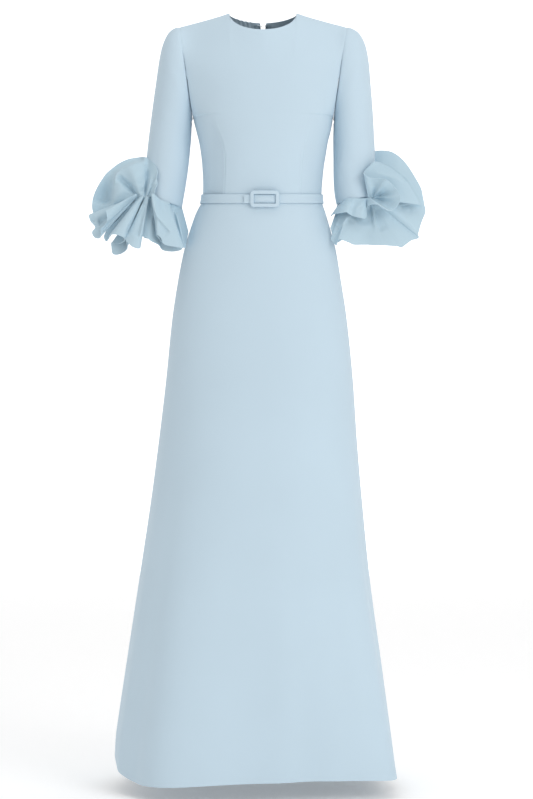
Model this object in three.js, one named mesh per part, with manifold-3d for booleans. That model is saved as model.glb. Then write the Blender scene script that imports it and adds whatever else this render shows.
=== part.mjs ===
// A floor-length a-line gown in plain crepe: jewel neck, set-in sleeves with ruffled cuffs, self belt.
// Millimetres. +Z is up, -Y is the front, and -X is the side on the viewer's left.
// The origin is midway between the two neck points, where the gown hangs on its wearer's shoulders.
import * as THREE from 'three';
import { mergeVertices } from 'three/addons/utils/BufferGeometryUtils.js';
import Module from 'manifold-3d';

// Cloth and seams
const WALL = 1.6;
const SEAM_GAP = 0.3;
const HALF_GAP = SEAM_GAP / 2;
const LAYER_GAP = 0.4;
const BELT_GAP = 0.9;

// Heights
const ARMPIT_Z = -210;
const WAIST_Z = -371;
const HEM_Z = -1507;

// Neck and shoulders
const NECK_HALF = 67.5;
const SHOULDER_HALF = 166.5;
const SHOULDER_TIP_Z = -28;
const NECK_SHARE = NECK_HALF / SHOULDER_HALF;
const NECK_DROP = { front: 42, back: 10 };
// The shoulder ridge runs on up towards the neck at this slope. The cloth rolls over it, and
// reaches its full depth this far below it.
const RIDGE_SLOPE = 0.28;
const SHOULDER_ROLL = { front: 150, back: 75 };
const SLOPE_POWER = 0.9;
const NECK_POWER = { front: 0.45, back: 0.8 };
const CLIMB_POWER = 1.6;
const CHEST_POWER = 2.6;

// Half widths and depths of the body of the gown, from the top down. Left and right are the
// viewer's. Square is the power of the ring's curve: 2 is an ellipse, more is boxier.
const SECTIONS = [
  { z: 0, left: 139, right: 139, front: 89, back: 75, square: 2.3 },
  { z: -60, left: 139, right: 139, front: 90, back: 84, square: 2.3 },
  { z: -110, left: 139, right: 139, front: 96, back: 92, square: 2.3 },
  { z: -160, left: 139, right: 139, front: 105, back: 98, square: 2.3 },
  { z: -210, left: 139, right: 139.4, front: 115, back: 100, square: 2.3 },
  { z: -233, left: 134, right: 136, front: 119, back: 99, square: 2.3 },
  { z: -257, left: 128, right: 130, front: 120, back: 97, square: 2.3 },
  { z: -281, left: 124, right: 126, front: 117, back: 93, square: 2.25 },
  { z: -305, left: 121.5, right: 122, front: 111, back: 90, square: 2.2 },
  { z: -340, left: 120, right: 118.5, front: 101, back: 87.5, square: 2.15 },
  { z: -371, left: 121, right: 117, front: 95, back: 88, square: 2.15 },
  { z: -380, left: 123.5, right: 118.5, front: 96, back: 89.5, square: 2.15 },
  { z: -389, left: 128.5, right: 121.5, front: 98, back: 92, square: 2.15 },
  { z: -401, left: 134.5, right: 125.5, front: 100, back: 95, square: 2.15 },
  { z: -437, left: 147, right: 136, front: 106, back: 103, square: 2.2 },
  { z: -473, left: 157.5, right: 145.5, front: 111, back: 111, square: 2.2 },
  { z: -533, left: 169.5, right: 155.5, front: 120, back: 121, square: 2.2 },
  { z: -613, left: 181.5, right: 167.5, front: 132, back: 133, square: 2.25 },
  { z: -733, left: 193.5, right: 179.5, front: 147, back: 146, square: 2.3 },
  { z: -853, left: 207.5, right: 187.5, front: 162, back: 160, square: 2.3 },
  { z: -973, left: 223, right: 197.5, front: 176, back: 175, square: 2.35 },
  { z: -1133, left: 247, right: 213.5, front: 193, back: 194, square: 2.4 },
  { z: -1293, left: 271, right: 235.5, front: 207, back: 212, square: 2.45 },
  { z: -1453, left: 292, right: 257, front: 218, back: 230, square: 2.5 },
  { z: -1507, left: 295, right: 264, front: 222, back: 238, square: 2.5 },
];

// Broad folds of the skirt. Turn is in degrees from the front centre, positive to the viewer's
// right. Out is how far the hem moves, spread its half width, from its top, drop how far it dips.
const SKIRT_FOLDS = [
  { turn: -30, out: 34, spread: 17, from: -760, drop: 6 },
  { turn: 17, out: -12, spread: 14, from: -900, drop: -2 },
  { turn: 57, out: 30, spread: 12, from: -860, drop: 3 },
  { turn: 100, out: -9, spread: 12, from: -900, drop: 0 },
  { turn: 136, out: 24, spread: 15, from: -740, drop: 0 },
  { turn: 172, out: -10, spread: 12, from: -900, drop: 0 },
  { turn: -146, out: 26, spread: 16, from: -720, drop: 0 },
  { turn: -100, out: -7, spread: 14, from: -900, drop: -9 },
];
const FOLD_POWER = 1.5;
const DROP_POWER = 6;

// The armhole is an oval in a steep plane, from the shoulder tip to the armpit.
const ARMHOLE = { front: 50, back: 52 };

// Sleeve rings from the armhole to the cuff: the outer and the inner end of each ring as seen
// from the front, and its depths.
const SLEEVE_RINGS = {
  left: [
    { outerX: -166.5, outerZ: -28, innerX: -140, innerZ: -210, front: 50, back: 52 },
    { outerX: -177, outerZ: -30, innerX: -140.5, innerZ: -213, front: 53, back: 55 },
    { outerX: -190, outerZ: -41, innerX: -141, innerZ: -218, front: 55, back: 58 },
    { outerX: -201, outerZ: -65, innerX: -142, innerZ: -226, front: 56, back: 60 },
    { outerX: -208, outerZ: -98, innerX: -143, innerZ: -240, front: 55, back: 60 },
    { outerX: -214, outerZ: -140, innerX: -144.5, innerZ: -262, front: 53, back: 58 },
    { outerX: -221, outerZ: -190, innerX: -147, innerZ: -290, front: 51, back: 55 },
    { outerX: -228, outerZ: -245, innerX: -151, innerZ: -321, front: 49, back: 52 },
    { outerX: -234, outerZ: -300, innerX: -155.5, innerZ: -350, front: 47, back: 49 },
    { outerX: -239, outerZ: -340, innerX: -159, innerZ: -371, front: 46, back: 47 },
    { outerX: -242, outerZ: -364, innerX: -162, innerZ: -389, front: 45, back: 46 },
  ],
  right: [
    { outerX: 166.5, outerZ: -28, innerX: 140, innerZ: -210, front: 50, back: 52 },
    { outerX: 177, outerZ: -30, innerX: 140.4, innerZ: -213, front: 53, back: 55 },
    { outerX: 192, outerZ: -40, innerX: 140.4, innerZ: -218, front: 55, back: 58 },
    { outerX: 204, outerZ: -62, innerX: 140.4, innerZ: -226, front: 56, back: 60 },
    { outerX: 211, outerZ: -95, innerX: 140.4, innerZ: -240, front: 55, back: 60 },
    { outerX: 215, outerZ: -140, innerX: 140.4, innerZ: -262, front: 53, back: 58 },
    { outerX: 219, outerZ: -190, innerX: 140.6, innerZ: -290, front: 51, back: 55 },
    { outerX: 222, outerZ: -240, innerX: 140.8, innerZ: -316, front: 49, back: 52 },
    { outerX: 224, outerZ: -290, innerX: 141.5, innerZ: -341, front: 47, back: 49 },
    { outerX: 222, outerZ: -335, innerX: 143.5, innerZ: -364, front: 46, back: 47 },
    { outerX: 219, outerZ: -366, innerX: 147, innerZ: -382, front: 45, back: 46 },
  ],
};

// Ruffles that fan out from one gathered point. Angle is in degrees from the viewer's right,
// turning up. Reach is the rim's distance, rim its depth, belly the depth added halfway out.
const LOBE_LEFT = {
  focus: { x: -240, y: -27.2, z: -368.7 },
  rows: [
    { angle: 22, reach: 27, rim: -46, belly: -4 },
    { angle: 45, reach: 42, rim: -52, belly: -3 },
    { angle: 62, reach: 62, rim: -50, belly: -5 },
    { angle: 74, reach: 74, rim: -40, belly: -6 },
    { angle: 88, reach: 80, rim: -52, belly: -4 },
    { angle: 103, reach: 82, rim: -30, belly: -6 },
    { angle: 118, reach: 84, rim: -42, belly: -8 },
    { angle: 134, reach: 90, rim: -16, belly: -6 },
    { angle: 150, reach: 95, rim: -26, belly: -10 },
    { angle: 168, reach: 101, rim: 4, belly: -8 },
    { angle: 182, reach: 104, rim: -12, belly: -8 },
    { angle: 194, reach: 104, rim: -2, belly: -4 },
  ],
};
const FAN_LEFT = {
  focus: { x: -240, y: -27.2, z: -369.2 },
  rows: [
    { angle: 195, reach: 112, rim: -40, belly: -2 },
    { angle: 204, reach: 108, rim: -14, belly: -2 },
    { angle: 214, reach: 120, rim: -62, belly: -4 },
    { angle: 223, reach: 113, rim: -30, belly: -4 },
    { angle: 233, reach: 124, rim: -78, belly: -6 },
    { angle: 242, reach: 118, rim: -42, belly: -6 },
    { angle: 252, reach: 112, rim: -88, belly: -6 },
    { angle: 262, reach: 100, rim: -52, belly: -8 },
    { angle: 272, reach: 82, rim: -84, belly: -8 },
    { angle: 281, reach: 86, rim: -56, belly: -8 },
    { angle: 291, reach: 98, rim: -92, belly: -10 },
    { angle: 301, reach: 112, rim: -62, belly: -12 },
    { angle: 311, reach: 128, rim: -84, belly: -14 },
    { angle: 320, reach: 126, rim: -58, belly: -16 },
    { angle: 329, reach: 112, rim: -54, belly: -20 },
    { angle: 338, reach: 94, rim: -30, belly: -26 },
    { angle: 345, reach: 82, rim: -14, belly: -32 },
  ],
};
const DISC_RIGHT = {
  focus: { x: 215, y: -24, z: -371.6 },
  rows: [
    { angle: -168, reach: 70, rim: -10, belly: -32 },
    { angle: -160, reach: 86, rim: -30, belly: -26 },
    { angle: -150, reach: 94, rim: -66, belly: -16 },
    { angle: -140, reach: 98, rim: -48, belly: -14 },
    { angle: -129, reach: 110, rim: -82, belly: -8 },
    { angle: -117, reach: 98, rim: -58, belly: -6 },
    { angle: -104, reach: 96, rim: -84, belly: 0 },
    { angle: -90, reach: 93, rim: -58, belly: 2 },
    { angle: -76, reach: 96, rim: -80, belly: 2 },
    { angle: -60, reach: 113, rim: -48, belly: 2 },
    { angle: -45, reach: 117, rim: -62, belly: 2 },
    { angle: -30, reach: 114, rim: -26, belly: 0 },
    { angle: -14, reach: 113, rim: -34, belly: 0 },
    { angle: 2, reach: 107, rim: -4, belly: 2 },
    { angle: 18, reach: 102, rim: -14, belly: 4 },
    { angle: 34, reach: 99, rim: 14, belly: 4 },
    { angle: 50, reach: 102, rim: 6, belly: 8 },
    { angle: 66, reach: 104, rim: 26, belly: 10 },
    { angle: 82, reach: 98, rim: 34, belly: 16 },
  ],
};
const FRILL_RIGHT = {
  focus: { x: 215, y: -26, z: -371.6 },
  rows: [
    { angle: -163, reach: 80, rim: -58, belly: -28 },
    { angle: -150, reach: 57, rim: -80, belly: -22 },
    { angle: -136, reach: 50, rim: -76, belly: -16 },
    { angle: -122, reach: 44, rim: -86, belly: -12 },
    { angle: -108, reach: 38, rim: -74, belly: -8 },
    { angle: -90, reach: 16, rim: -54, belly: 0 },
    { angle: -56, reach: 14, rim: -48, belly: 0 },
    { angle: -32, reach: 40, rim: -70, belly: 0 },
    { angle: -14, reach: 58, rim: -62, belly: 0 },
    { angle: 6, reach: 58, rim: -52, belly: -2 },
    { angle: 30, reach: 51, rim: -58, belly: -2 },
    { angle: 52, reach: 47, rim: -48, belly: -4 },
    { angle: 76, reach: 43, rim: -56, belly: -4 },
    { angle: 104, reach: 50, rim: -54, belly: -2 },
  ],
};
const FAN_INNER = 4;
const FAN_RADIAL_STEPS = 5;
const FAN_STEPS_A_ROW = 2;
const FAN_POWER = 1.15;
const SLEEVE_CLEARANCE = 2.3;

// The flounce that carries each ruffle on round the inner side and the back of the cuff
const FLOUNCE = {
  left: { from: 192, to: 344, waves: 6.5, flare: 36, drop: 72, swing: 9, bodyShare: 0.1 },
  right: { from: 192, to: 344, waves: 6.5, flare: 34, drop: 70, swing: 9, bodyShare: 0.05 },
};
const FLOUNCE_RINGS = 4;
const FLOUNCE_STEPS_A_WAVE = 6;

// Belt and buckle
const BELT = { top: -362, bottom: -380, dip: 7, thick: 2.4, steps: 48, open: 9 };
const STRAP = { from: -37, to: 24, thick: 1.8, height: 16.4, crown: 2.2, crownPower: 3, steps: 12, rows: 4 };
const BUCKLE = { left: -25, right: 32, top: -362.7, bottom: -395.3 };
const FRAME = { bar: 7.2, thick: 4, corner: 2.5, soft: 0.9 };
const BUCKLE_STEPS = 8;

// Zip at the centre back
const ZIP = { bottom: -533, tape: 11, thick: 1, sliderZ: -66, open: 6, openPower: 1.4, topDrop: 3 };
const SLIDER = { width: 5.4, height: 9, base: 2, bridge: 1.6, arch: 2.4, post: 1.2 };
const TAB = { width: 5, length: 24, thick: 1.1, bar: 1.2, windowWidth: 2.6, windowHeight: 4.6 };
const TAPE_GAP = 0.5;
const HOOK = { wire: 0.45, z: -14, length: 7, height: 4 };

// Plain numbers for the grids
const ARM_STEPS = 9;
const BODICE_STEPS = 6;
const NECK_STEPS = 5;
const SIDE_STEPS = 7;
const SKIRT_COLUMNS = 15;
const SKIRT_LEVELS = [-371, -380, -391, -413, -460, -533, -640, -780, -930, -1090, -1250, -1400, -1507];

const COLOURS = { cloth: 0xbdd2e0, ruffle: 0xb0cbd9, metal: 0x8d9aa3 };

const mix = (a, b, t) => a + (b - a) * t;
const clamp = (value, low, high) => Math.min(high, Math.max(low, value));
const radians = (degrees) => degrees * Math.PI / 180;

// Reads a column of a table at a value of its key column, on a smooth curve through its rows.
function read(table, key, value, column) {
  const rising = table[table.length - 1][key] > table[0][key];
  let i = 0;
  while (i < table.length - 2 && (rising ? value > table[i + 1][key] : value < table[i + 1][key])) i += 1;
  const a = table[i];
  const b = table[i + 1];
  const span = b[key] - a[key];
  const t = clamp((value - a[key]) / span, 0, 1);
  const slope = (row) => {
    const before = table[Math.max(row - 1, 0)];
    const after = table[Math.min(row + 1, table.length - 1)];
    return (after[column] - before[column]) / (after[key] - before[key]);
  };
  const startPull = slope(i) * span;
  const endPull = slope(i + 1) * span;
  const t2 = t * t;
  const t3 = t2 * t;
  return a[column] * (2 * t3 - 3 * t2 + 1) + startPull * (t3 - 2 * t2 + t)
    + b[column] * (3 * t2 - 2 * t3) + endPull * (t3 - t2);
}

// Joins two equal grids of points, the two faces of one cloth wall, into a closed body.
function wallGeometry(outer, inner, closed = false) {
  const rows = outer.length;
  const columns = outer[0].length;
  const points = [...outer.flat(), ...inner.flat()];
  const inside = rows * columns;
  const index = [];
  const quad = (a, b, c, d) => index.push(a, b, c, a, c, d);
  const at = (row, column) => row * columns + (column % columns);
  const lastColumn = closed ? columns : columns - 1;
  for (let row = 0; row < rows - 1; row += 1) {
    for (let column = 0; column < lastColumn; column += 1) {
      const a = at(row, column);
      const b = at(row, column + 1);
      const c = at(row + 1, column + 1);
      const d = at(row + 1, column);
      quad(a, b, c, d);
      quad(inside + d, inside + c, inside + b, inside + a);
    }
  }
  for (let column = 0; column < lastColumn; column += 1) {
    const a = at(0, column);
    const b = at(0, column + 1);
    quad(b, a, inside + a, inside + b);
    const c = at(rows - 1, column);
    const d = at(rows - 1, column + 1);
    quad(c, d, inside + d, inside + c);
  }
  for (let row = 0; row < rows - 1 && !closed; row += 1) {
    const a = at(row, 0);
    const b = at(row + 1, 0);
    quad(a, b, inside + b, inside + a);
    const c = at(row, columns - 1);
    const d = at(row + 1, columns - 1);
    quad(d, c, inside + c, inside + d);
  }
  const geometry = new THREE.BufferGeometry();
  const numbers = points.flatMap((p) => [p.x, p.y, p.z]);
  geometry.setAttribute('position', new THREE.Float32BufferAttribute(numbers, 3));
  geometry.setIndex(index);
  return faceOut(geometry);
}

// Turns every triangle over if the body is inside out.
function faceOut(geometry) {
  const position = geometry.getAttribute('position');
  const index = geometry.getIndex().array;
  const a = new THREE.Vector3();
  const b = new THREE.Vector3();
  const c = new THREE.Vector3();
  let volume = 0;
  for (let i = 0; i < index.length; i += 3) {
    a.fromBufferAttribute(position, index[i]);
    b.fromBufferAttribute(position, index[i + 1]);
    c.fromBufferAttribute(position, index[i + 2]);
    volume += a.dot(b.cross(c));
  }
  if (volume < 0) {
    for (let i = 0; i < index.length; i += 3) [index[i], index[i + 1]] = [index[i + 1], index[i]];
  }
  geometry.computeVertexNormals();
  return geometry;
}

// Moves each point of a grid to the wall's other face. The direction at a point is what
// inward(point, normal, row, column) gives, and normal is the grid's own unit normal there.
function otherFace(grid, thickness, inward, closed = false) {
  const columns = grid[0].length;
  return grid.map((line, row) => line.map((point, column) => {
    const before = closed ? (column + columns - 1) % columns : Math.max(column - 1, 0);
    const after = closed ? (column + 1) % columns : Math.min(column + 1, columns - 1);
    const along = line[after].clone().sub(line[before]);
    const below = grid[Math.max(row - 1, 0)][column];
    const above = grid[Math.min(row + 1, grid.length - 1)][column];
    const normal = along.cross(above.clone().sub(below)).normalize();
    return point.clone().addScaledVector(inward(point, normal, row, column).normalize(), thickness);
  }));
}

// The normal, turned to the side that the reference direction points to.
const facing = (normal, reference) => (normal.dot(reference) < 0 ? normal.clone().negate() : normal.clone());

const towardsAxis = (point) => new THREE.Vector3(-point.x, -point.y, 0);

// The sides of a section at a height, and how far the broad folds push it out.
function section(z) {
  const columns = ['left', 'right', 'front', 'back', 'square'];
  return Object.fromEntries(columns.map((column) => [column, read(SECTIONS, 'z', z, column)]));
}

function foldAt(turn, z, column, power) {
  let sum = 0;
  for (const fold of SKIRT_FOLDS) {
    const away = Math.abs(((turn - fold.turn + 540) % 360) - 180) / fold.spread;
    const grown = clamp((z - fold.from) / (HEM_Z - fold.from), 0, 1) ** power;
    sum += fold[column] * grown * Math.exp(-away * away);
  }
  return sum;
}

// A point of the skirt or of the bodice below the armpits.
function bodyPoint(turn, z) {
  const size = section(z);
  const sine = Math.sin(radians(turn));
  const cosine = Math.cos(radians(turn));
  const power = 2 / size.square;
  const x = Math.sign(sine) * Math.abs(sine) ** power * (sine < 0 ? size.left : size.right);
  const y = -Math.sign(cosine) * Math.abs(cosine) ** power * (cosine > 0 ? size.front : size.back);
  const length = Math.hypot(x, y);
  const out = foldAt(turn, z, 'out', FOLD_POWER);
  const drop = foldAt(turn, z, 'drop', DROP_POWER);
  return new THREE.Vector3(x * (1 + out / length), y * (1 + out / length), z - drop);
}

// The top edge of the front or the back, shoulder seams and neck, at a share of the half width,
// and the ridge that the cloth rolls over there.
function topEdge(share, face) {
  const wide = Math.abs(share);
  if (wide < NECK_SHARE) {
    const open = 1 - (wide / NECK_SHARE) ** 2;
    const ridge = RIDGE_SLOPE * (NECK_SHARE - wide) * SHOULDER_HALF;
    return { z: -NECK_DROP[face] * open ** NECK_POWER[face], ridge };
  }
  const z = SHOULDER_TIP_Z * ((wide - NECK_SHARE) / (1 - NECK_SHARE)) ** SLOPE_POWER;
  return { z, ridge: z };
}

function armholePoint(side, degrees) {
  const ring = SLEEVE_RINGS[side][0];
  return ringPoint(ring, degrees);
}

// A point of a sleeve ring: 0 is its outer end, 90 the front, 180 the inner end, 270 the back.
function ringPoint(ring, degrees) {
  const cosine = Math.cos(radians(degrees));
  const sine = Math.sin(radians(degrees));
  return new THREE.Vector3(
    mix(ring.innerX, ring.outerX, (1 + cosine) / 2),
    -sine * (sine > 0 ? ring.front : ring.back),
    mix(ring.innerZ, ring.outerZ, (1 + cosine) / 2),
  );
}

// Shares of the half width at which the bodice has columns, from the centre to the side.
function bodiceShares() {
  const shares = [];
  for (let step = 0; step < NECK_STEPS; step += 1) shares.push(NECK_SHARE * step / NECK_STEPS);
  for (let step = 0; step <= SIDE_STEPS; step += 1) {
    shares.push(NECK_SHARE + (1 - NECK_SHARE) * Math.sin(radians(90 * step / SIDE_STEPS)));
  }
  return shares;
}

// The levels of the bodice's rows: below the armpit a height, above it an angle of the armhole.
function bodiceLevels() {
  const levels = [];
  for (let step = 0; step < BODICE_STEPS; step += 1) {
    levels.push({ z: mix(WAIST_Z + HALF_GAP, ARMPIT_Z, step / BODICE_STEPS) });
  }
  for (let step = 0; step <= ARM_STEPS; step += 1) levels.push({ arm: 180 - 180 * step / ARM_STEPS });
  return levels;
}

function bodicePoint(share, level, face) {
  const side = share < 0 ? 'left' : 'right';
  const sign = face === 'front' ? -1 : 1;
  const wide = Math.abs(share);
  if (level.arm === undefined) {
    const size = section(level.z);
    const curve = (1 - wide ** size.square) ** (1 / size.square);
    return new THREE.Vector3(share * size[side], sign * (curve * size[face] + HALF_GAP * wide ** 8), level.z);
  }
  const edge = armholePoint(side, level.arm);
  const top = topEdge(share, face);
  const climb = (edge.z - ARMPIT_Z) / (SHOULDER_TIP_Z - ARMPIT_Z);
  const z = edge.z + (top.z - SHOULDER_TIP_Z) * climb ** CLIMB_POWER;
  const size = section(z);
  const roll = clamp((top.ridge - z) / SHOULDER_ROLL[face], 0, 1);
  const rise = Math.sqrt(1 - (1 - roll) ** 2);
  const ringCurve = (1 - wide ** size.square) ** (1 / size.square);
  const softCurve = 1 - wide ** CHEST_POWER;
  const curve = mix(ringCurve, softCurve, clamp(climb * 2, 0, 1));
  const armDepth = ARMHOLE[face] * Math.sin(radians(level.arm));
  const depth = armDepth * (1 - curve) + curve * size[face] * rise;
  return new THREE.Vector3(Math.abs(edge.x) * share, sign * (depth + HALF_GAP), z);
}

// Where the wall of a bodice panel turns in: straight in at its seams, along the normal elsewhere.
function bodiceInward(shares, levels, face) {
  return (point, normal, row, column) => {
    const share = shares[column];
    const level = levels[row];
    const own = facing(normal, new THREE.Vector3(-point.x * 0.2, face === 'front' ? 1 : -1, -0.2));
    const onTop = row === levels.length - 1 && Math.abs(share) > NECK_SHARE - 0.001;
    if (onTop) return new THREE.Vector3(0, 0, -1);
    if (Math.abs(share) > 0.999) {
      const across = new THREE.Vector3(-Math.sign(point.x), 0, 0);
      if (level.arm === undefined || level.arm > 170) return across;
      const ring = SLEEVE_RINGS[share < 0 ? 'left' : 'right'][0];
      const centre = new THREE.Vector3(point.x, 0, (ring.outerZ + ring.innerZ) / 2);
      const planar = centre.sub(point).normalize();
      return planar.lerp(across, clamp((level.arm - 90) / 60, 0, 1));
    }
    if (share === 0 && face === 'back') return new THREE.Vector3(0, -1, 0);
    return own;
  };
}

// Half the opening of the centre back at a height: the zip is a little undone at the neck.
function zipHalfGap(z) {
  const undone = clamp((z - ZIP.sliderZ) / (-NECK_DROP.back - ZIP.sliderZ), 0, 1);
  return HALF_GAP + ZIP.open * undone ** ZIP.openPower;
}

function bodiceFront() {
  const half = bodiceShares();
  const shares = [...half.slice(1).reverse().map((share) => -share), ...half];
  const levels = bodiceLevels();
  const grid = levels.map((level) => shares.map((share) => bodicePoint(share, level, 'front')));
  return wallGeometry(grid, otherFace(grid, WALL, bodiceInward(shares, levels, 'front')));
}

function bodiceBack(side) {
  const sign = side === 'left' ? -1 : 1;
  const shares = bodiceShares().map((share) => share * sign);
  const levels = bodiceLevels();
  const grid = levels.map((level) => shares.map((share) => {
    const point = bodicePoint(share === 0 ? sign * 1e-6 : share, level, 'back');
    point.x += sign * zipHalfGap(point.z) * (1 - Math.abs(share)) ** 2;
    return point;
  }));
  return wallGeometry(grid, otherFace(grid, WALL, bodiceInward(shares, levels, 'back')));
}

function skirtPanel(fromTurn, toTurn, columns) {
  const turns = Array.from({ length: columns + 1 }, (_, step) => mix(fromTurn, toTurn, step / columns));
  const grid = SKIRT_LEVELS.map((level) => turns.map((turn) => {
    const point = bodyPoint(turn, level === WAIST_Z ? WAIST_Z - HALF_GAP : level);
    const atSide = Math.abs(Math.abs(turn) - 90) < 1;
    const atBack = Math.abs(Math.abs(turn) - 180) < 1;
    const middle = (fromTurn + toTurn) / 2;
    if (atSide) point.y += Math.abs(middle) < 1 ? -HALF_GAP : HALF_GAP;
    if (atBack) point.x = Math.sign(middle) * HALF_GAP;
    return point;
  }));
  const inward = (point, normal, row, column) => {
    const turn = Math.abs(turns[column]);
    if (Math.abs(turn - 90) < 1) return new THREE.Vector3(-Math.sign(point.x), 0, 0);
    if (Math.abs(turn - 180) < 1) return new THREE.Vector3(0, -1, 0);
    return facing(normal, towardsAxis(point));
  };
  return wallGeometry(grid, otherFace(grid, WALL, inward));
}

function sleeve(side) {
  const outward = side === 'left' ? -1 : 1;
  const rings = SLEEVE_RINGS[side];
  const angles = Array.from({ length: 2 * ARM_STEPS }, (_, step) => 180 * step / ARM_STEPS);
  const grid = rings.map((ring, row) => angles.map((angle) => {
    const point = ringPoint(ring, angle);
    if (row === 0) point.x += outward * SEAM_GAP;
    return point;
  }));
  const inward = (point, normal, row, column) => {
    const ring = rings[row];
    const centre = new THREE.Vector3((ring.outerX + ring.innerX) / 2, 0, (ring.outerZ + ring.innerZ) / 2);
    const planar = centre.sub(point).normalize();
    if (row === 0 && Math.cos(radians(angles[column])) > -0.2) return planar;
    return facing(normal, planar);
  };
  return wallGeometry(grid, otherFace(grid, WALL, inward, true), true);
}

// The depth of a sleeve's front at a place seen from the front, or null beside the sleeve.
function sleeveFrontDepth(side, x, z) {
  const rings = SLEEVE_RINGS[side];
  const last = rings[rings.length - 1];
  const low = mix(last.innerZ, last.outerZ, clamp((x - last.innerX) / (last.outerX - last.innerX), 0, 1));
  if (z < low) return null;
  const outer = read(rings, 'outerZ', z, 'outerX');
  const inner = read(rings, 'innerZ', z, 'innerX');
  const away = (x - (outer + inner) / 2) / (Math.abs(outer - inner) / 2);
  if (Math.abs(away) > 1) return null;
  return -read(rings, 'outerZ', z, 'front') * Math.sqrt(1 - away * away);
}

// A ruffle that fans out from its focus. It stays in front of the sleeve where it crosses it.
function fan(sheet, side) {
  const { focus, rows } = sheet;
  const angles = [];
  for (let row = 0; row < rows.length - 1; row += 1) {
    for (let step = 0; step < FAN_STEPS_A_ROW; step += 1) {
      angles.push(mix(rows[row].angle, rows[row + 1].angle, step / FAN_STEPS_A_ROW));
    }
  }
  angles.push(rows[rows.length - 1].angle);
  const grid = [];
  for (let step = 0; step <= FAN_RADIAL_STEPS; step += 1) {
    const share = step / FAN_RADIAL_STEPS;
    grid.push(angles.map((angle) => {
      const reach = mix(FAN_INNER, read(rows, 'angle', angle, 'reach'), share);
      const x = focus.x + reach * Math.cos(radians(angle));
      const z = focus.z + reach * Math.sin(radians(angle));
      const belly = 4 * share * (1 - share) * read(rows, 'angle', angle, 'belly');
      const y = mix(focus.y, read(rows, 'angle', angle, 'rim'), share ** FAN_POWER) + belly;
      const cover = sleeveFrontDepth(side, x, z);
      const limit = cover === null || y > 0 ? y : cover - SLEEVE_CLEARANCE;
      return new THREE.Vector3(x, Math.min(y, limit), z);
    }));
  }
  return wallGeometry(grid, otherFace(grid, WALL, () => new THREE.Vector3(0, 1, 0)));
}

// The flounce round the inner side and the back of a cuff, waved in and out.
function flounce(side) {
  const size = FLOUNCE[side];
  const rings = SLEEVE_RINGS[side];
  const cuff = rings[rings.length - 1];
  const middle = new THREE.Vector3((cuff.outerX + cuff.innerX) / 2, 0, 0);
  const steps = Math.round(size.waves * FLOUNCE_STEPS_A_WAVE);
  const bodySide = Math.sign(cuff.innerX - cuff.outerX);
  const outwards = (point) => new THREE.Vector3(point.x - middle.x, point.y, 0).normalize();
  const grid = [];
  for (let ring = 0; ring <= FLOUNCE_RINGS; ring += 1) {
    const share = ring / FLOUNCE_RINGS;
    const line = [];
    for (let step = 0; step <= steps; step += 1) {
      const turn = step / steps;
      const point = ringPoint(cuff, mix(size.from, size.to, turn));
      const wave = Math.cos(turn * size.waves * 2 * Math.PI) * size.swing * share;
      const out = outwards(point);
      if (out.x * bodySide > 0) out.x *= size.bodyShare;
      point.addScaledVector(out, size.flare * share ** 0.8 + wave);
      point.z -= size.drop * share + SEAM_GAP * 2;
      line.push(point);
    }
    grid.push(line);
  }
  return wallGeometry(grid, otherFace(grid, WALL, (point) => outwards(point).negate()));
}

// A point of the waist, moved out from the cloth.
function waistPoint(turn, z, out) {
  const point = bodyPoint(turn, z);
  const normal = bodyPoint(turn + 1, z).sub(bodyPoint(turn - 1, z)).cross(new THREE.Vector3(0, 0, 1));
  return point.addScaledVector(facing(normal.normalize(), towardsAxis(point).negate()), out);
}

// The belt: a band whose ends meet behind the buckle. It dips towards the front.
function belt() {
  const levels = [BELT.bottom, (BELT.top + BELT.bottom) / 2, BELT.top];
  const grid = levels.map((z) => Array.from({ length: BELT.steps + 1 }, (_, step) => {
    const turn = mix(BELT.open, 360 - BELT.open, step / BELT.steps);
    const down = BELT.dip * Math.max(Math.cos(radians(turn)), 0);
    return waistPoint(turn, z - down, BELT_GAP + BELT.thick);
  }));
  const inward = (point, normal) => facing(normal, towardsAxis(point));
  return wallGeometry(grid, otherFace(grid, BELT.thick, inward));
}

// The depth of the waist's front at a distance from the centre, where the belt stands out most.
function waistFront(x) {
  const depths = [BELT.top, (BELT.top + BELT.bottom) / 2, BELT.bottom].map((z) => {
    const size = section(z - BELT.dip);
    const half = x < 0 ? size.left : size.right;
    return -size.front * (1 - (Math.abs(x) / half) ** size.square) ** (1 / size.square);
  });
  return Math.min(...depths);
}

// The strap end: it lies on the belt, under the buckle's bars, and crowns in the window.
function strapEnd() {
  const middle = (BUCKLE.top + BUCKLE.bottom) / 2;
  const windowX = (BUCKLE.left + BUCKLE.right) / 2;
  const windowHalf = (BUCKLE.right - BUCKLE.left) / 2 - FRAME.bar;
  const grid = [];
  for (let row = 0; row <= STRAP.rows; row += 1) {
    const share = row / STRAP.rows;
    grid.push(Array.from({ length: STRAP.steps + 1 }, (_, step) => {
      const x = mix(STRAP.from, STRAP.to, step / STRAP.steps);
      const inWindow = clamp(1 - Math.abs((x - windowX) / windowHalf) ** STRAP.crownPower, 0, 1);
      const crown = STRAP.crown * inWindow * (1 - (2 * share - 1) ** 2);
      const y = waistFront(x) - BELT_GAP - LAYER_GAP - BELT.thick - STRAP.thick - crown;
      return new THREE.Vector3(x, y, middle + (share - 0.5) * STRAP.height);
    }));
  }
  return wallGeometry(grid, otherFace(grid, STRAP.thick, () => new THREE.Vector3(0, 1, 0)));
}

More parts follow.
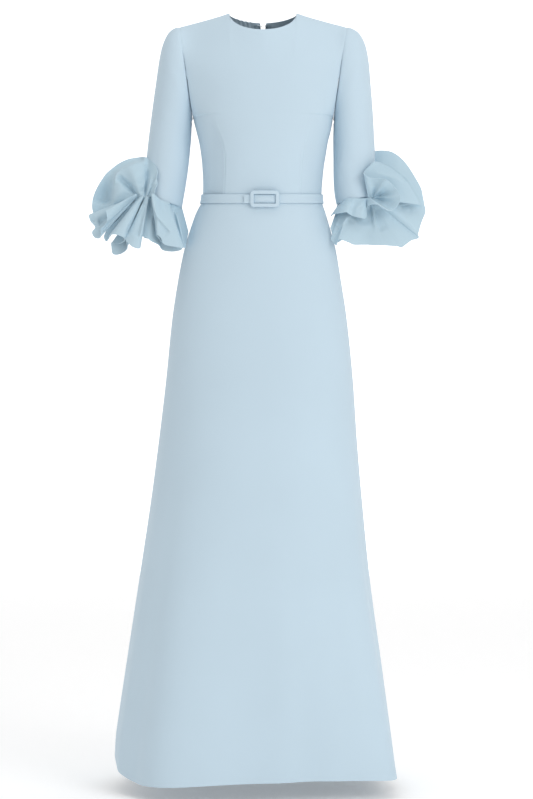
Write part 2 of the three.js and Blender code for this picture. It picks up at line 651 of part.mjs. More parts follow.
// The buckle: a rectangular frame with soft edges, bowed like the waist.
function buckle() {
  const width = BUCKLE.right - BUCKLE.left;
  const height = BUCKLE.top - BUCKLE.bottom;
  const centreX = (BUCKLE.right + BUCKLE.left) / 2;
  const centreZ = (BUCKLE.top + BUCKLE.bottom) / 2;
  const rim = [
    { inset: 0, lift: FRAME.soft },
    { inset: FRAME.soft, lift: 0 },
    { inset: FRAME.bar - FRAME.soft, lift: 0 },
    { inset: FRAME.bar, lift: FRAME.soft },
    { inset: FRAME.bar, lift: FRAME.thick },
    { inset: 0, lift: FRAME.thick },
  ];
  const front = waistFront(centreX) - BELT_GAP - 2 * LAYER_GAP - BELT.thick - STRAP.thick - FRAME.thick;
  const outline = frameOutline(width, height, FRAME.corner);
  const grid = rim.map(({ inset, lift }) => outline.map(({ x, z }) => {
    const placeX = centreX + x * (1 - 2 * inset / width);
    const placeZ = centreZ + z * (1 - 2 * inset / height);
    const bow = waistFront(placeX) - waistFront(centreX);
    return new THREE.Vector3(placeX, front + bow + lift, placeZ);
  }));
  return ringGeometry(grid);
}

// The points of a rectangle with cut corners, in order, with the long sides divided.
function frameOutline(width, height, corner) {
  const points = [];
  const halfWidth = width / 2;
  const halfHeight = height / 2;
  for (let step = 0; step <= BUCKLE_STEPS; step += 1) {
    points.push({ x: mix(corner - halfWidth, halfWidth - corner, step / BUCKLE_STEPS), z: halfHeight });
  }
  points.push({ x: halfWidth, z: halfHeight - corner });
  const top = [...points];
  for (let i = 0; i < top.length; i += 1) points.push({ x: -top[i].x, z: -top[i].z });
  return points;
}

// Closes a stack of rings, the last joined to the first, into one body.
function ringGeometry(grid) {
  const rows = grid.length;
  const columns = grid[0].length;
  const index = [];
  for (let row = 0; row < rows; row += 1) {
    for (let column = 0; column < columns; column += 1) {
      const a = row * columns + column;
      const b = row * columns + ((column + 1) % columns);
      const c = ((row + 1) % rows) * columns + ((column + 1) % columns);
      const d = ((row + 1) % rows) * columns + column;
      index.push(a, b, c, a, c, d);
    }
  }
  const geometry = new THREE.BufferGeometry();
  const numbers = grid.flat().flatMap((p) => [p.x, p.y, p.z]);
  geometry.setAttribute('position', new THREE.Float32BufferAttribute(numbers, 3));
  geometry.setIndex(index);
  return faceOut(geometry);
}

// The rows of the centre back's outer edge, from the hem up.
function centreBack() {
  const skirt = SKIRT_LEVELS.map((z) => bodyPoint(180, z)).reverse();
  const bodice = bodiceLevels().map((level) => bodicePoint(0, level, 'back'));
  return [...skirt, ...bodice].map(({ y, z }) => ({ z, depth: y }));
}

// The outer face of the centre back at a height, straight between its rows.
function backDepth(z) {
  const rows = centreBack();
  let i = 0;
  while (i < rows.length - 2 && z > rows[i + 1].z) i += 1;
  const share = clamp((z - rows[i].z) / (rows[i + 1].z - rows[i].z), 0, 1);
  return mix(rows[i].depth, rows[i + 1].depth, share);
}

// A point under the back panels near their centre edges, this far inside their outer face.
function underBack(x, z, inside) {
  const ridge = Math.max(NECK_HALF - Math.abs(x), 0) * RIDGE_SLOPE;
  const depthAt = (height) => {
    const roll = clamp((ridge - height) / SHOULDER_ROLL.back, 0, 1);
    return section(height).back * Math.sqrt(1 - (1 - roll) ** 2);
  };
  const slope = depthAt(z + 1) - depthAt(z - 1);
  const inward = new THREE.Vector3(0, -2, slope).normalize();
  return new THREE.Vector3(x, depthAt(z), z).addScaledVector(inward, inside);
}

// A zip tape, behind the edge of the back panels.
function zipTape(side) {
  const sign = side === 'left' ? -1 : 1;
  const top = -NECK_DROP.back - ZIP.topDrop;
  const between = centreBack().map((row) => row.z).filter((z) => z > ZIP.bottom + 1 && z < top - 1);
  const levels = [ZIP.bottom, ...between, top];
  const face = (inside) => levels.map((z) => [0, 1].map((share) => {
    const x = sign * (zipHalfGap(z) + TAPE_GAP + share * ZIP.tape);
    return underBack(x, z, inside);
  }));
  return wallGeometry(face(WALL + TAPE_GAP), face(WALL + TAPE_GAP + ZIP.thick));
}

const wasm = await Module();
wasm.setup();

// A plain body as a solid that can be joined or cut.
function solidOf(geometry) {
  const plain = geometry.clone();
  plain.deleteAttribute('normal');
  plain.deleteAttribute('uv');
  const merged = mergeVertices(plain, 1e-4);
  return new wasm.Manifold(new wasm.Mesh({
    numProp: 3,
    vertProperties: new Float32Array(merged.getAttribute('position').array),
    triVerts: new Uint32Array(merged.getIndex().array),
  }));
}

function geometryOf(solid) {
  const mesh = solid.getMesh();
  const geometry = new THREE.BufferGeometry();
  geometry.setAttribute('position', new THREE.BufferAttribute(new Float32Array(mesh.vertProperties), 3));
  geometry.setIndex(new THREE.BufferAttribute(new Uint32Array(mesh.triVerts), 1));
  geometry.computeVertexNormals();
  return geometry;
}

const block = (width, depth, height, x, y, z) => (
  new THREE.BoxGeometry(width, depth, height).translate(x, y, z)
);

// The slider: a flat body and a bridge that the pull tab's bar runs under. Local y points out.
function slider() {
  const archTop = SLIDER.base + SLIDER.arch;
  const reach = SLIDER.height / 2 - SLIDER.post / 2;
  const body = block(SLIDER.width, SLIDER.base, SLIDER.height, 0, SLIDER.base / 2, 0);
  const bridge = block(SLIDER.bridge, SLIDER.post, SLIDER.height, 0, archTop + SLIDER.post / 2, 0);
  const postHeight = SLIDER.arch + 0.2;
  const postY = SLIDER.base + postHeight / 2 - 0.1;
  const top = block(SLIDER.bridge, postHeight, SLIDER.post, 0, postY, reach);
  const bottom = block(SLIDER.bridge, postHeight, SLIDER.post, 0, postY, -reach);
  const parts = [bridge, top, bottom].map(solidOf);
  return geometryOf(parts.reduce((whole, part) => whole.add(part), solidOf(body)));
}

// The pull tab, hanging from its bar. Local origin is the hinge.
function pullTab() {
  const half = TAB.width / 2;
  const top = TAB.bar / 2;
  const outline = new THREE.Shape();
  outline.moveTo(-half, top);
  outline.lineTo(half, top);
  outline.lineTo(half, -TAB.length + half);
  outline.absarc(0, -TAB.length + half, half, 0, -Math.PI, true);
  outline.lineTo(-half, top);
  const window = new THREE.Path();
  const side = TAB.windowWidth / 2;
  window.moveTo(-side, -top);
  window.lineTo(-side, -top - TAB.windowHeight);
  window.lineTo(side, -top - TAB.windowHeight);
  window.lineTo(side, -top);
  window.lineTo(-side, -top);
  outline.holes.push(window);
  const options = { depth: TAB.thick, bevelEnabled: false, curveSegments: 8 };
  const geometry = new THREE.ExtrudeGeometry(outline, options);
  geometry.translate(0, 0, -TAB.thick / 2);
  geometry.rotateX(Math.PI / 2);
  return geometry;
}

// Wire bent through a few points, six-sided.
function wire(points, radius) {
  const sides = 6;
  const shape = new THREE.Shape(Array.from({ length: sides }, (_, i) => new THREE.Vector2(
    radius * Math.cos(2 * Math.PI * i / sides),
    radius * Math.sin(2 * Math.PI * i / sides),
  )));
  const path = new THREE.CatmullRomCurve3(points, false, 'centripetal');
  return new THREE.ExtrudeGeometry(shape, { steps: 14, extrudePath: path, bevelEnabled: false });
}

const gown = new THREE.Group();

function add(name, geometry, colour, parent = gown) {
  const metal = colour === COLOURS.metal;
  const material = new THREE.MeshStandardMaterial({
    color: colour,
    roughness: metal ? 0.35 : 0.85,
    metalness: metal ? 0.9 : 0,
  });
  const mesh = new THREE.Mesh(geometry, material);
  mesh.name = name;
  parent.add(mesh);
  return mesh;
}

add('bodice_front', bodiceFront(), COLOURS.cloth);
add('skirt_front', skirtPanel(-90, 90, 2 * SKIRT_COLUMNS), COLOURS.cloth);
add('skirt_back_left', skirtPanel(-180, -90, SKIRT_COLUMNS), COLOURS.cloth);
add('skirt_back_right', skirtPanel(90, 180, SKIRT_COLUMNS), COLOURS.cloth);
for (const side of ['left', 'right']) {
  add(`bodice_back_${side}`, bodiceBack(side), COLOURS.cloth);
  add(`sleeve_${side}`, sleeve(side), COLOURS.cloth);
  add(`cuff_flounce_${side}`, flounce(side), COLOURS.ruffle);
  add(`zip_tape_${side}`, zipTape(side), COLOURS.cloth);
}
add('cuff_lobe_left', fan(LOBE_LEFT, 'left'), COLOURS.ruffle);
add('cuff_fan_left', fan(FAN_LEFT, 'left'), COLOURS.ruffle);
add('cuff_disc_right', fan(DISC_RIGHT, 'right'), COLOURS.ruffle);
add('cuff_frill_right', fan(FRILL_RIGHT, 'right'), COLOURS.ruffle);
add('belt_band', belt(), COLOURS.cloth);
add('belt_strap_end', strapEnd(), COLOURS.cloth);
add('belt_buckle', buckle(), COLOURS.cloth);

// The slider and its tab lie along the slope of the back.
const nearby = SLIDER.height / 2;
const rise = backDepth(ZIP.sliderZ - nearby) - backDepth(ZIP.sliderZ + nearby);
const slope = Math.atan2(rise, SLIDER.height);
const pull = new THREE.Group();
pull.position.set(0, backDepth(ZIP.sliderZ) + LAYER_GAP, ZIP.sliderZ);
pull.rotation.x = slope;
gown.add(pull);
add('zip_slider', slider(), COLOURS.metal, pull);
const tab = add('zip_pull_tab', pullTab(), COLOURS.metal, pull);
tab.position.y = SLIDER.base + SLIDER.arch / 2;

// Hook on the left edge of the opening and eye on the right, on the inner face of the tapes.
const hookEdge = zipHalfGap(HOOK.z);
const hookInside = WALL + TAPE_GAP + ZIP.thick + HOOK.wire + SEAM_GAP;
const halfEye = HOOK.height / 2;
const hookPath = [
  [-hookEdge - HOOK.length, halfEye, 0],
  [-hookEdge, 0.8, 0],
  [-hookEdge + 3.4, 0, 0],
  [-hookEdge + 3.2, 0, 1.6],
  [-hookEdge + 0.6, 0, 1.8],
];
const eyePath = [
  [hookEdge + HOOK.length, halfEye, 0],
  [hookEdge, halfEye, 0],
  [hookEdge - 1.6, 0, 0],
  [hookEdge, -halfEye, 0],
  [hookEdge + HOOK.length, -halfEye, 0],
];
const seated = (path) => path.map(([x, up, inside]) => underBack(x, HOOK.z + up, hookInside + inside));
add('neck_hook', wire(seated(hookPath), HOOK.wire), COLOURS.metal);
add('neck_eye', wire(seated(eyePath), HOOK.wire), COLOURS.metal);

export default gown;
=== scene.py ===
import math

import bmesh
import bpy
import numpy as np
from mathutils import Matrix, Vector

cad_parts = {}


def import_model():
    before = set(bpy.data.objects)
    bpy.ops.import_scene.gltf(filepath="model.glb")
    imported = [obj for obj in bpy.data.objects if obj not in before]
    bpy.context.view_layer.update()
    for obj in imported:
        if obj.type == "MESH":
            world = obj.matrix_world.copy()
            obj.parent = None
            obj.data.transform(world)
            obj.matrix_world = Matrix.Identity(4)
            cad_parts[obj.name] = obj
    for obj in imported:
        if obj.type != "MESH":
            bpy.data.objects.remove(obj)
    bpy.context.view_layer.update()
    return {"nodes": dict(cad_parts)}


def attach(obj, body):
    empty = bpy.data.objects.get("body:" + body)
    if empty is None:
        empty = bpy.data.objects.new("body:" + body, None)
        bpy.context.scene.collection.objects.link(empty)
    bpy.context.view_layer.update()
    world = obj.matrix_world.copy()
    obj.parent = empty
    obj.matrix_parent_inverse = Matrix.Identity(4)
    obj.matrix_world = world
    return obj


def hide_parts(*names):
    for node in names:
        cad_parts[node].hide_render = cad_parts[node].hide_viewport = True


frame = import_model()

# Looks of a floor-length a-line gown in plain crepe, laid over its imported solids.
# Sizes and places are in millimetres in the shared frame, where +Z is up, -Y the front and -X the
# side on the viewer's left. They turn into metres when a mesh is made.
METRE = 0.001

# Cloth
CLOTH = 1.0
RUFFLE_CLOTH = 0.8
SHARP_DEGREES = {"sheet": 55, "body": 50}
SEAM = {"depth": 0.9, "width": 1.8}

# Heights and the neck, as in the solids
ARMPIT_Z = -210
WAIST_Z = -371
HEM_Z = -1507
NECK_HALF = 67.5
SHOULDER_HALF = 166.5
SHOULDER_TIP_Z = -28
NECK_SHARE = NECK_HALF / SHOULDER_HALF
NECK_DROP = {"front": 42, "back": 10}
RIDGE_SLOPE = 0.28
SHOULDER_ROLL = {"front": 150, "back": 75}
SLOPE_POWER = 0.9
NECK_POWER = {"front": 0.45, "back": 0.8}
CLIMB_POWER = 1.6
CHEST_POWER = 2.6
ARMHOLE = {"front": 50, "back": 52}


def table(names, rows):
    """Columns of numbers by name, from rows written in the same order."""
    return {name: np.array(column, float) for name, column in zip(names.split(), zip(*rows))}


# Half widths and depths of the body of the gown. Square is the power of the ring's curve.
SECTIONS = table("z left right front back square", [
    (0, 139, 139, 89, 75, 2.3),
    (-60, 139, 139, 90, 84, 2.3),
    (-110, 139, 139, 96, 92, 2.3),
    (-160, 139, 139, 105, 98, 2.3),
    (-210, 139, 139.4, 115, 100, 2.3),
    (-233, 134, 136, 119, 99, 2.3),
    (-257, 128, 130, 120, 97, 2.3),
    (-281, 124, 126, 117, 93, 2.25),
    (-305, 121.5, 122, 111, 90, 2.2),
    (-340, 120, 118.5, 101, 87.5, 2.15),
    (-371, 121, 117, 95, 88, 2.15),
    (-380, 123.5, 118.5, 96, 89.5, 2.15),
    (-389, 128.5, 121.5, 98, 92, 2.15),
    (-401, 134.5, 125.5, 100, 95, 2.15),
    (-437, 147, 136, 106, 103, 2.2),
    (-473, 157.5, 145.5, 111, 111, 2.2),
    (-533, 169.5, 155.5, 120, 121, 2.2),
    (-613, 181.5, 167.5, 132, 133, 2.25),
    (-733, 193.5, 179.5, 147, 146, 2.3),
    (-853, 207.5, 187.5, 162, 160, 2.3),
    (-973, 223, 197.5, 176, 175, 2.35),
    (-1133, 247, 213.5, 193, 194, 2.4),
    (-1293, 271, 235.5, 207, 212, 2.45),
    (-1453, 292, 257, 218, 230, 2.5),
    (-1507, 295, 264, 222, 238, 2.5),
])

# Broad folds of the skirt, as in the solids. Turn is in degrees from the front centre, positive to
# the viewer's right. Out is how far the hem moves, top where the fold starts.
SKIRT_FOLDS = table("turn out spread top drop", [
    (-30, 34, 17, -760, 6),
    (17, -12, 14, -900, -2),
    (57, 30, 12, -860, 3),
    (100, -9, 12, -900, 0),
    (136, 24, 15, -740, 0),
    (172, -10, 12, -900, 0),
    (-146, 26, 16, -720, 0),
    (-100, -7, 14, -900, -9),
])
FOLD_POWER = 1.5
DROP_POWER = 6

# Where the hem's left corner rounds up, in the looks only. A negative drop lifts the hem.
HEM_CORNER = table("drop turn spread", [(-32, -88, 14), (7, -50, 14)])
CORNER_TOP = -1200

# Soft troughs and ridges laid over the broad folds: where each runs at its top and at the hem,
# its depth at the hem, its half width in degrees, and the height where it fades out.
SOFT_FOLDS = table("turn_top turn_hem depth spread top", [
    (-64, -70, 3.2, 5, -620),
    (-47, -52, -2.6, 6, -700),
    (-22, -14, 2.4, 7, -820),
    (-6, -2, -1.8, 6, -700),
    (8, 6, 2.2, 5, -960),
    (30, 33, -2.4, 7, -760),
    (41, 45, 2.8, 6, -880),
    (66, 74, -3.0, 6, -640),
    (88, 86, 2.2, 7, -900),
    (112, 116, -3.4, 6, -700),
    (124, 121, 2.6, 5, -860),
    (151, 155, 3.0, 7, -780),
    (166, 163, -2.8, 6, -660),
    (-170, -174, 2.4, 7, -840),
    (-158, -162, -3.2, 6, -700),
    (-131, -128, 2.8, 6, -760),
    (-117, -120, -2.6, 5, -900),
    (-90, -84, 2.4, 7, -680),
])
SOFT_POWER = 1.3

# Sleeve rings from the armhole to the cuff, as in the solids.
RING_COLUMNS = "ring outer_x outer_z inner_x inner_z front back"
SLEEVE_RINGS = {
    "left": table(RING_COLUMNS, [
        (0, -166.5, -28, -140, -210, 50, 52),
        (1, -177, -30, -140.5, -213, 53, 55),
        (2, -190, -41, -141, -218, 55, 58),
        (3, -201, -65, -142, -226, 56, 60),
        (4, -208, -98, -143, -240, 55, 60),
        (5, -214, -140, -144.5, -262, 53, 58),
        (6, -221, -190, -147, -290, 51, 55),
        (7, -228, -245, -151, -321, 49, 52),
        (8, -234, -300, -155.5, -350, 47, 49),
        (9, -239, -340, -159, -371, 46, 47),
        (10, -242, -364, -162, -389, 45, 46),
    ]),
    "right": table(RING_COLUMNS, [
        (0, 166.5, -28, 140, -210, 50, 52),
        (1, 177, -30, 140.4, -213, 53, 55),
        (2, 192, -40, 140.4, -218, 55, 58),
        (3, 204, -62, 140.4, -226, 56, 60),
        (4, 211, -95, 140.4, -240, 55, 60),
        (5, 215, -140, 140.4, -262, 53, 58),
        (6, 219, -190, 140.6, -290, 51, 55),
        (7, 222, -240, 140.8, -316, 49, 52),
        (8, 224, -290, 141.5, -341, 47, 49),
        (9, 222, -335, 143.5, -364, 46, 47),
        (10, 219, -366, 147, -382, 45, 46),
    ]),
}

# The camera stands in front of the gown, level with its middle.
CAMERA = {"x": 7, "distance": 5000, "z": -772, "lens": 112.64, "sensor": 36}


# Curves and grids

def read(rows, key, column, value):
    """A column of a table at values of its key column, on the smooth curve the solids follow."""
    keys, heights = rows[key], rows[column]
    if keys[0] > keys[-1]:
        keys, heights = keys[::-1], heights[::-1]
    slopes = np.empty(len(keys))
    slopes[1:-1] = (heights[2:] - heights[:-2]) / (keys[2:] - keys[:-2])
    slopes[0] = (heights[1] - heights[0]) / (keys[1] - keys[0])
    slopes[-1] = (heights[-1] - heights[-2]) / (keys[-1] - keys[-2])
    value = np.clip(value, keys[0], keys[-1])
    i = np.clip(np.searchsorted(keys, value, side="right") - 1, 0, len(keys) - 2)
    span = keys[i + 1] - keys[i]
    t = (value - keys[i]) / span
    start = heights[i] * (2 * t**3 - 3 * t**2 + 1) + slopes[i] * span * (t**3 - 2 * t**2 + t)
    end = heights[i + 1] * (3 * t**2 - 2 * t**3) + slopes[i + 1] * span * (t**3 - t**2)
    return start + end


def mix(a, b, share):
    return a + (b - a) * share


def ease(share):
    """A share from 0 to 1 that starts and ends gently."""
    share = np.clip(share, 0, 1)
    return share * share * (3 - 2 * share)


def lines(low, high, step, clusters=()):
    """Numbers from low to high about a step apart, and closer inside each (middle, half, fine)."""
    found = list(np.linspace(low, high, max(2, round((high - low) / step) + 1)))
    for middle, half, fine in clusters:
        found = [value for value in found if abs(value - middle) > half]
        found += list(np.linspace(middle - half, middle + half, 2 * round(half / fine) + 1))
    kept = sorted(value for value in found if low <= value <= high)
    ends = [low] + [value for value in kept if value - low > 1e-6 and high - value > 1e-6] + [high]
    return np.array(ends)


def arc_lengths(grid, axis):
    """The distance run along each line of a grid from its start."""
    steps = np.linalg.norm(np.diff(grid, axis=axis), axis=2)
    return np.insert(np.cumsum(steps, axis=axis), 0, 0, axis=axis)


def grid_normals(grid, outward, closed=False):
    """Unit normals of a grid of points, turned so that most of them follow outward."""
    if closed:
        along = np.roll(grid, -1, axis=1) - np.roll(grid, 1, axis=1)
    else:
        along = np.gradient(grid, axis=1)
    normals = np.cross(along, np.gradient(grid, axis=0))
    length = np.linalg.norm(normals, axis=2, keepdims=True)
    normals = normals / np.maximum(length, 1e-9)
    if np.sum(normals * outward) < 0:
        normals = -normals
    return normals


def from_axis(grid):
    """The direction away from the upright axis at each point."""
    return grid * np.array([1, 1, 0])


def seam_grooves(grid, outward, edges, closed=False):
    """Rolls a panel in along its sewn edges, given as (axis, end) with end 0 for the first line."""
    inward = np.zeros(grid.shape[:2])
    for axis, end in edges:
        away = arc_lengths(grid, axis)
        if end:
            away = np.take(away, [-1], axis=axis) - away
        inward = np.maximum(inward, SEAM["depth"] * np.exp(-(away / SEAM["width"]) ** 2))
    return grid - grid_normals(grid, outward, closed) * inward[..., None]


# Meshes

def make_mesh(name, points, faces, material):
    mesh = bpy.data.meshes.new(name)
    mesh.from_pydata((np.asarray(points) * METRE).tolist(), [], faces)
    mesh.validate()
    smooth(mesh, SHARP_DEGREES["sheet"])
    mesh.materials.append(material)
    piece = bpy.data.objects.new(name, mesh)
    bpy.context.scene.collection.objects.link(piece)
    return piece


def smooth(mesh, sharp):
    """Smooths a mesh, apart from edges that bend by more than sharp degrees."""
    mesh.polygons.foreach_set("use_smooth", [True] * len(mesh.polygons))
    mesh.set_sharp_from_angle(angle=math.radians(sharp))


def quads(rows, columns, closed):
    """Corners of the faces of a grid, row by row."""
    row = np.arange(rows - 1)[:, None]
    column = np.arange(columns if closed else columns - 1)[None, :]
    after = (column + 1) % columns
    corners = [row * columns + column, row * columns + after,
               (row + 1) * columns + after, (row + 1) * columns + column]
    shape = (rows - 1, column.shape[1])
    return np.stack([np.broadcast_to(corner, shape) for corner in corners], -1).reshape(-1, 4)


def wall(name, grid, thick, material, outward, closed=False):
    """A closed thin wall of cloth from the grid of its outer face."""
    rows, columns = grid.shape[:2]
    normals = grid_normals(grid, outward, closed)
    thick = np.broadcast_to(thick, grid.shape[:2])[..., None]
    points = np.concatenate([grid.reshape(-1, 3), (grid - normals * thick).reshape(-1, 3)])
    inside = rows * columns
    outer = quads(rows, columns, closed)
    first = np.arange(columns)
    last = (rows - 1) * columns + first
    ring = [rim_quads(first[::-1], inside, closed), rim_quads(last, inside, closed)]
    if not closed:
        side = np.arange(rows) * columns
        ring += [rim_quads(side, inside, False), rim_quads((side + columns - 1)[::-1], inside, False)]
    faces = np.concatenate([outer, outer[:, ::-1] + inside, *ring])
    centre_face = outer[len(outer) // 2]
    a, b, c = (points[centre_face[k]] for k in range(3))
    facing = np.dot(np.cross(b - a, c - a), normals.reshape(-1, 3)[centre_face[0]])
    if facing < 0:
        faces = faces[:, ::-1]
    return make_mesh(name, points, faces.tolist(), material)


def rim_quads(line, inside, closed):
    """The faces that join a line of outer points to the inner points behind them."""
    after = np.roll(line, -1) if closed else line[1:]
    line = line if closed else line[:-1]
    return np.stack([line, after, after + inside, line + inside], -1)


def tube(name, grid, material, capped):
    """A body swept along its first axis, whose rings of points are closed."""
    rows, columns = grid.shape[:2]
    faces = quads(rows, columns, True).tolist()
    if capped:
        faces.append(list(range(columns))[::-1])
        faces.append([(rows - 1) * columns + column for column in range(columns)])
    else:
        last = (rows - 1) * columns
        faces += [[last + c, last + (c + 1) % columns, (c + 1) % columns, c] for c in range(columns)]
    piece = make_mesh(name, grid.reshape(-1, 3), faces, material)
    face_out(piece)
    return piece


def face_out(piece):
    """Turns a closed body's faces outwards and smooths it."""
    body = bmesh.new()
    body.from_mesh(piece.data)
    bmesh.ops.recalc_face_normals(body, faces=body.faces)
    body.to_mesh(piece.data)
    body.free()
    smooth(piece.data, SHARP_DEGREES["body"])


# The body of the gown

def section(column, z):
    return read(SECTIONS, "z", column, z)


def turned_away(turn, middle):
    """Degrees between two turns, the short way round."""
    return np.abs((turn - middle + 540) % 360 - 180)


def bell(turn, middle, spread):
    """One at the middle turn, fading to nothing beyond the spread."""
    return np.exp(-(turned_away(turn, middle) / spread) ** 2)


def fallen(z, top):
    """The share of the way from a height down to the hem."""
    return np.clip((z - top) / (HEM_Z - top), 0, 1)


def broad_folds(turn, z, column, power):
    """What the broad folds add at turns and heights, from one column of their table."""
    folds = SKIRT_FOLDS
    total = 0
    for size, top, middle, spread in zip(folds[column], folds["top"], folds["turn"], folds["spread"]):
        total = total + size * fallen(z, top) ** power * bell(turn, middle, spread)
    return total


def hem_corner(turn, z):
    total = 0
    for drop, middle, spread in zip(*HEM_CORNER.values()):
        total = total + drop * fallen(z, CORNER_TOP) ** 2 * bell(turn, middle, spread)
    return total


def soft_folds(turn, z):
    total = 0
    for k, top in enumerate(SOFT_FOLDS["top"]):
        down = fallen(z, top)
        middle = mix(SOFT_FOLDS["turn_top"][k], SOFT_FOLDS["turn_hem"][k], down)
        share = bell(turn, middle, SOFT_FOLDS["spread"][k])
        total = total + SOFT_FOLDS["depth"][k] * down**SOFT_POWER * share
    return total


def body_point(turn, z, extra=0):
    """Points of the skirt, or of the waist, at turns and heights."""
    turn, z = np.broadcast_arrays(turn, z)
    sine, cosine = np.sin(np.radians(turn)), np.cos(np.radians(turn))
    power = 2 / section("square", z)
    wide = np.where(sine < 0, section("left", z), section("right", z))
    deep = np.where(cosine > 0, section("front", z), section("back", z))
    x = np.sign(sine) * np.abs(sine) ** power * wide
    y = -np.sign(cosine) * np.abs(cosine) ** power * deep
    out = broad_folds(turn, z, "out", FOLD_POWER) + extra
    grow = 1 + out / np.hypot(x, y)
    drop = broad_folds(turn, z, "drop", DROP_POWER) + hem_corner(turn, z)
    return np.stack([x * grow, y * grow, z - drop], -1)


def ring_point(side, ring, degrees):
    """Points of a sleeve: 0 degrees is the outer end of a ring, 90 the front."""
    size = {name: read(SLEEVE_RINGS[side], "ring", name, ring) for name in RING_COLUMNS.split()}
    cosine, sine = np.cos(np.radians(degrees)), np.sin(np.radians(degrees))
    share = (1 + cosine) / 2
    x = mix(size["inner_x"], size["outer_x"], share)
    z = mix(size["inner_z"], size["outer_z"], share)
    y = -sine * np.where(sine > 0, size["front"], size["back"])
    return np.stack(np.broadcast_arrays(x, y, z), -1)


def top_edge(share, face):
    """The height of the neck and shoulder line, and of the ridge that the cloth rolls over."""
    wide = np.abs(share)
    open_share = np.clip(1 - (wide / NECK_SHARE) ** 2, 0, 1)
    neck = -NECK_DROP[face] * open_share**NECK_POWER[face]
    slope = np.clip((wide - NECK_SHARE) / (1 - NECK_SHARE), 0, 1)
    shoulder = SHOULDER_TIP_Z * slope**SLOPE_POWER
    in_neck = wide < NECK_SHARE
    ridge = np.where(in_neck, RIDGE_SLOPE * (NECK_SHARE - wide) * SHOULDER_HALF, shoulder)
    return np.where(in_neck, neck, shoulder), ridge


def bodice_row(shares, face, z=None, arm=None):
    """A row of the bodice at shares of its half width: below the armpit at a height, above it
    at an angle of the armhole."""
    sign = -1 if face == "front" else 1
    wide = np.abs(shares)
    left = shares < 0
    if arm is None:
        square = section("square", z)
        curve = np.clip(1 - wide**square, 0, 1) ** (1 / square)
        x = shares * np.where(left, section("left", z), section("right", z))
        return np.stack([x, sign * curve * section(face, z), np.full_like(x, z)], -1)
    edge_x = np.where(left, ring_point("left", 0, arm)[0], ring_point("right", 0, arm)[0])
    edge_z = ring_point("left", 0, arm)[2]
    top_z, ridge = top_edge(shares, face)
    climb = (edge_z - ARMPIT_Z) / (SHOULDER_TIP_Z - ARMPIT_Z)
    z = edge_z + (top_z - SHOULDER_TIP_Z) * climb**CLIMB_POWER
    roll = np.clip((ridge - z) / SHOULDER_ROLL[face], 0, 1)
    rise = np.sqrt(1 - (1 - roll) ** 2)
    square = section("square", z)
    ring_curve = np.clip(1 - wide**square, 0, 1) ** (1 / square)
    soft_curve = 1 - wide**CHEST_POWER
    curve = mix(ring_curve, soft_curve, ease(climb * 2))
    lift = mix(math.sin(math.pi * climb) ** 2, math.sin(math.radians(arm)), wide**6)
    arm_depth = ARMHOLE[face] * lift
    depth = arm_depth * (1 - curve) + curve * section(face, z) * rise
    return np.stack([np.abs(edge_x) * shares, sign * depth, z], -1)


# Materials

def principled(name, colour, roughness, metallic=0.0, sheen=0.0):
    """A new material and its nodes. Values that are the same all over sit on the shader's sockets."""
    material = bpy.data.materials.new(name)
    material.use_nodes = True
    nodes = material.node_tree.nodes
    shader = nodes["Principled BSDF"]
    shader.inputs["Base Color"].default_value = (*colour, 1)
    shader.inputs["Roughness"].default_value = roughness
    shader.inputs["Metallic"].default_value = metallic
    shader.inputs["Sheen Weight"].default_value = sheen
    shader.inputs["Sheen Roughness"].default_value = 0.45
    shader.inputs["Specular IOR Level"].default_value = 0.3
    return material, nodes, material.node_tree.links, shader


def noise(nodes, links, coordinates, scale, detail=2.0, stretch=(1, 1, 1)):
    mapping = nodes.new("ShaderNodeMapping")
    mapping.inputs["Scale"].default_value = stretch
    links.new(coordinates, mapping.inputs["Vector"])
    texture = nodes.new("ShaderNodeTexNoise")
    texture.inputs["Scale"].default_value = scale
    texture.inputs["Detail"].default_value = detail
    links.new(mapping.outputs["Vector"], texture.inputs["Vector"])
    return texture.outputs["Fac"]


def colour_ramp(nodes, links, factor, low, high, colours):
    ramp = nodes.new("ShaderNodeValToRGB")
    for element, place, colour in zip(ramp.color_ramp.elements, (low, high), colours):
        element.position = place
        element.color = (*colour, 1)
    links.new(factor, ramp.inputs["Fac"])
    return ramp.outputs["Color"]


def bump(nodes, links, shader, height, strength, distance):
    """Lets a height disturb a shader's normal."""
    node = nodes.new("ShaderNodeBump")
    node.inputs["Strength"].default_value = strength
    node.inputs["Distance"].default_value = distance
    links.new(height, node.inputs["Height"])
    links.new(node.outputs["Normal"], shader.inputs["Normal"])


def shade(colour, amount):
    return tuple(min(1, channel * amount) for channel in colour)


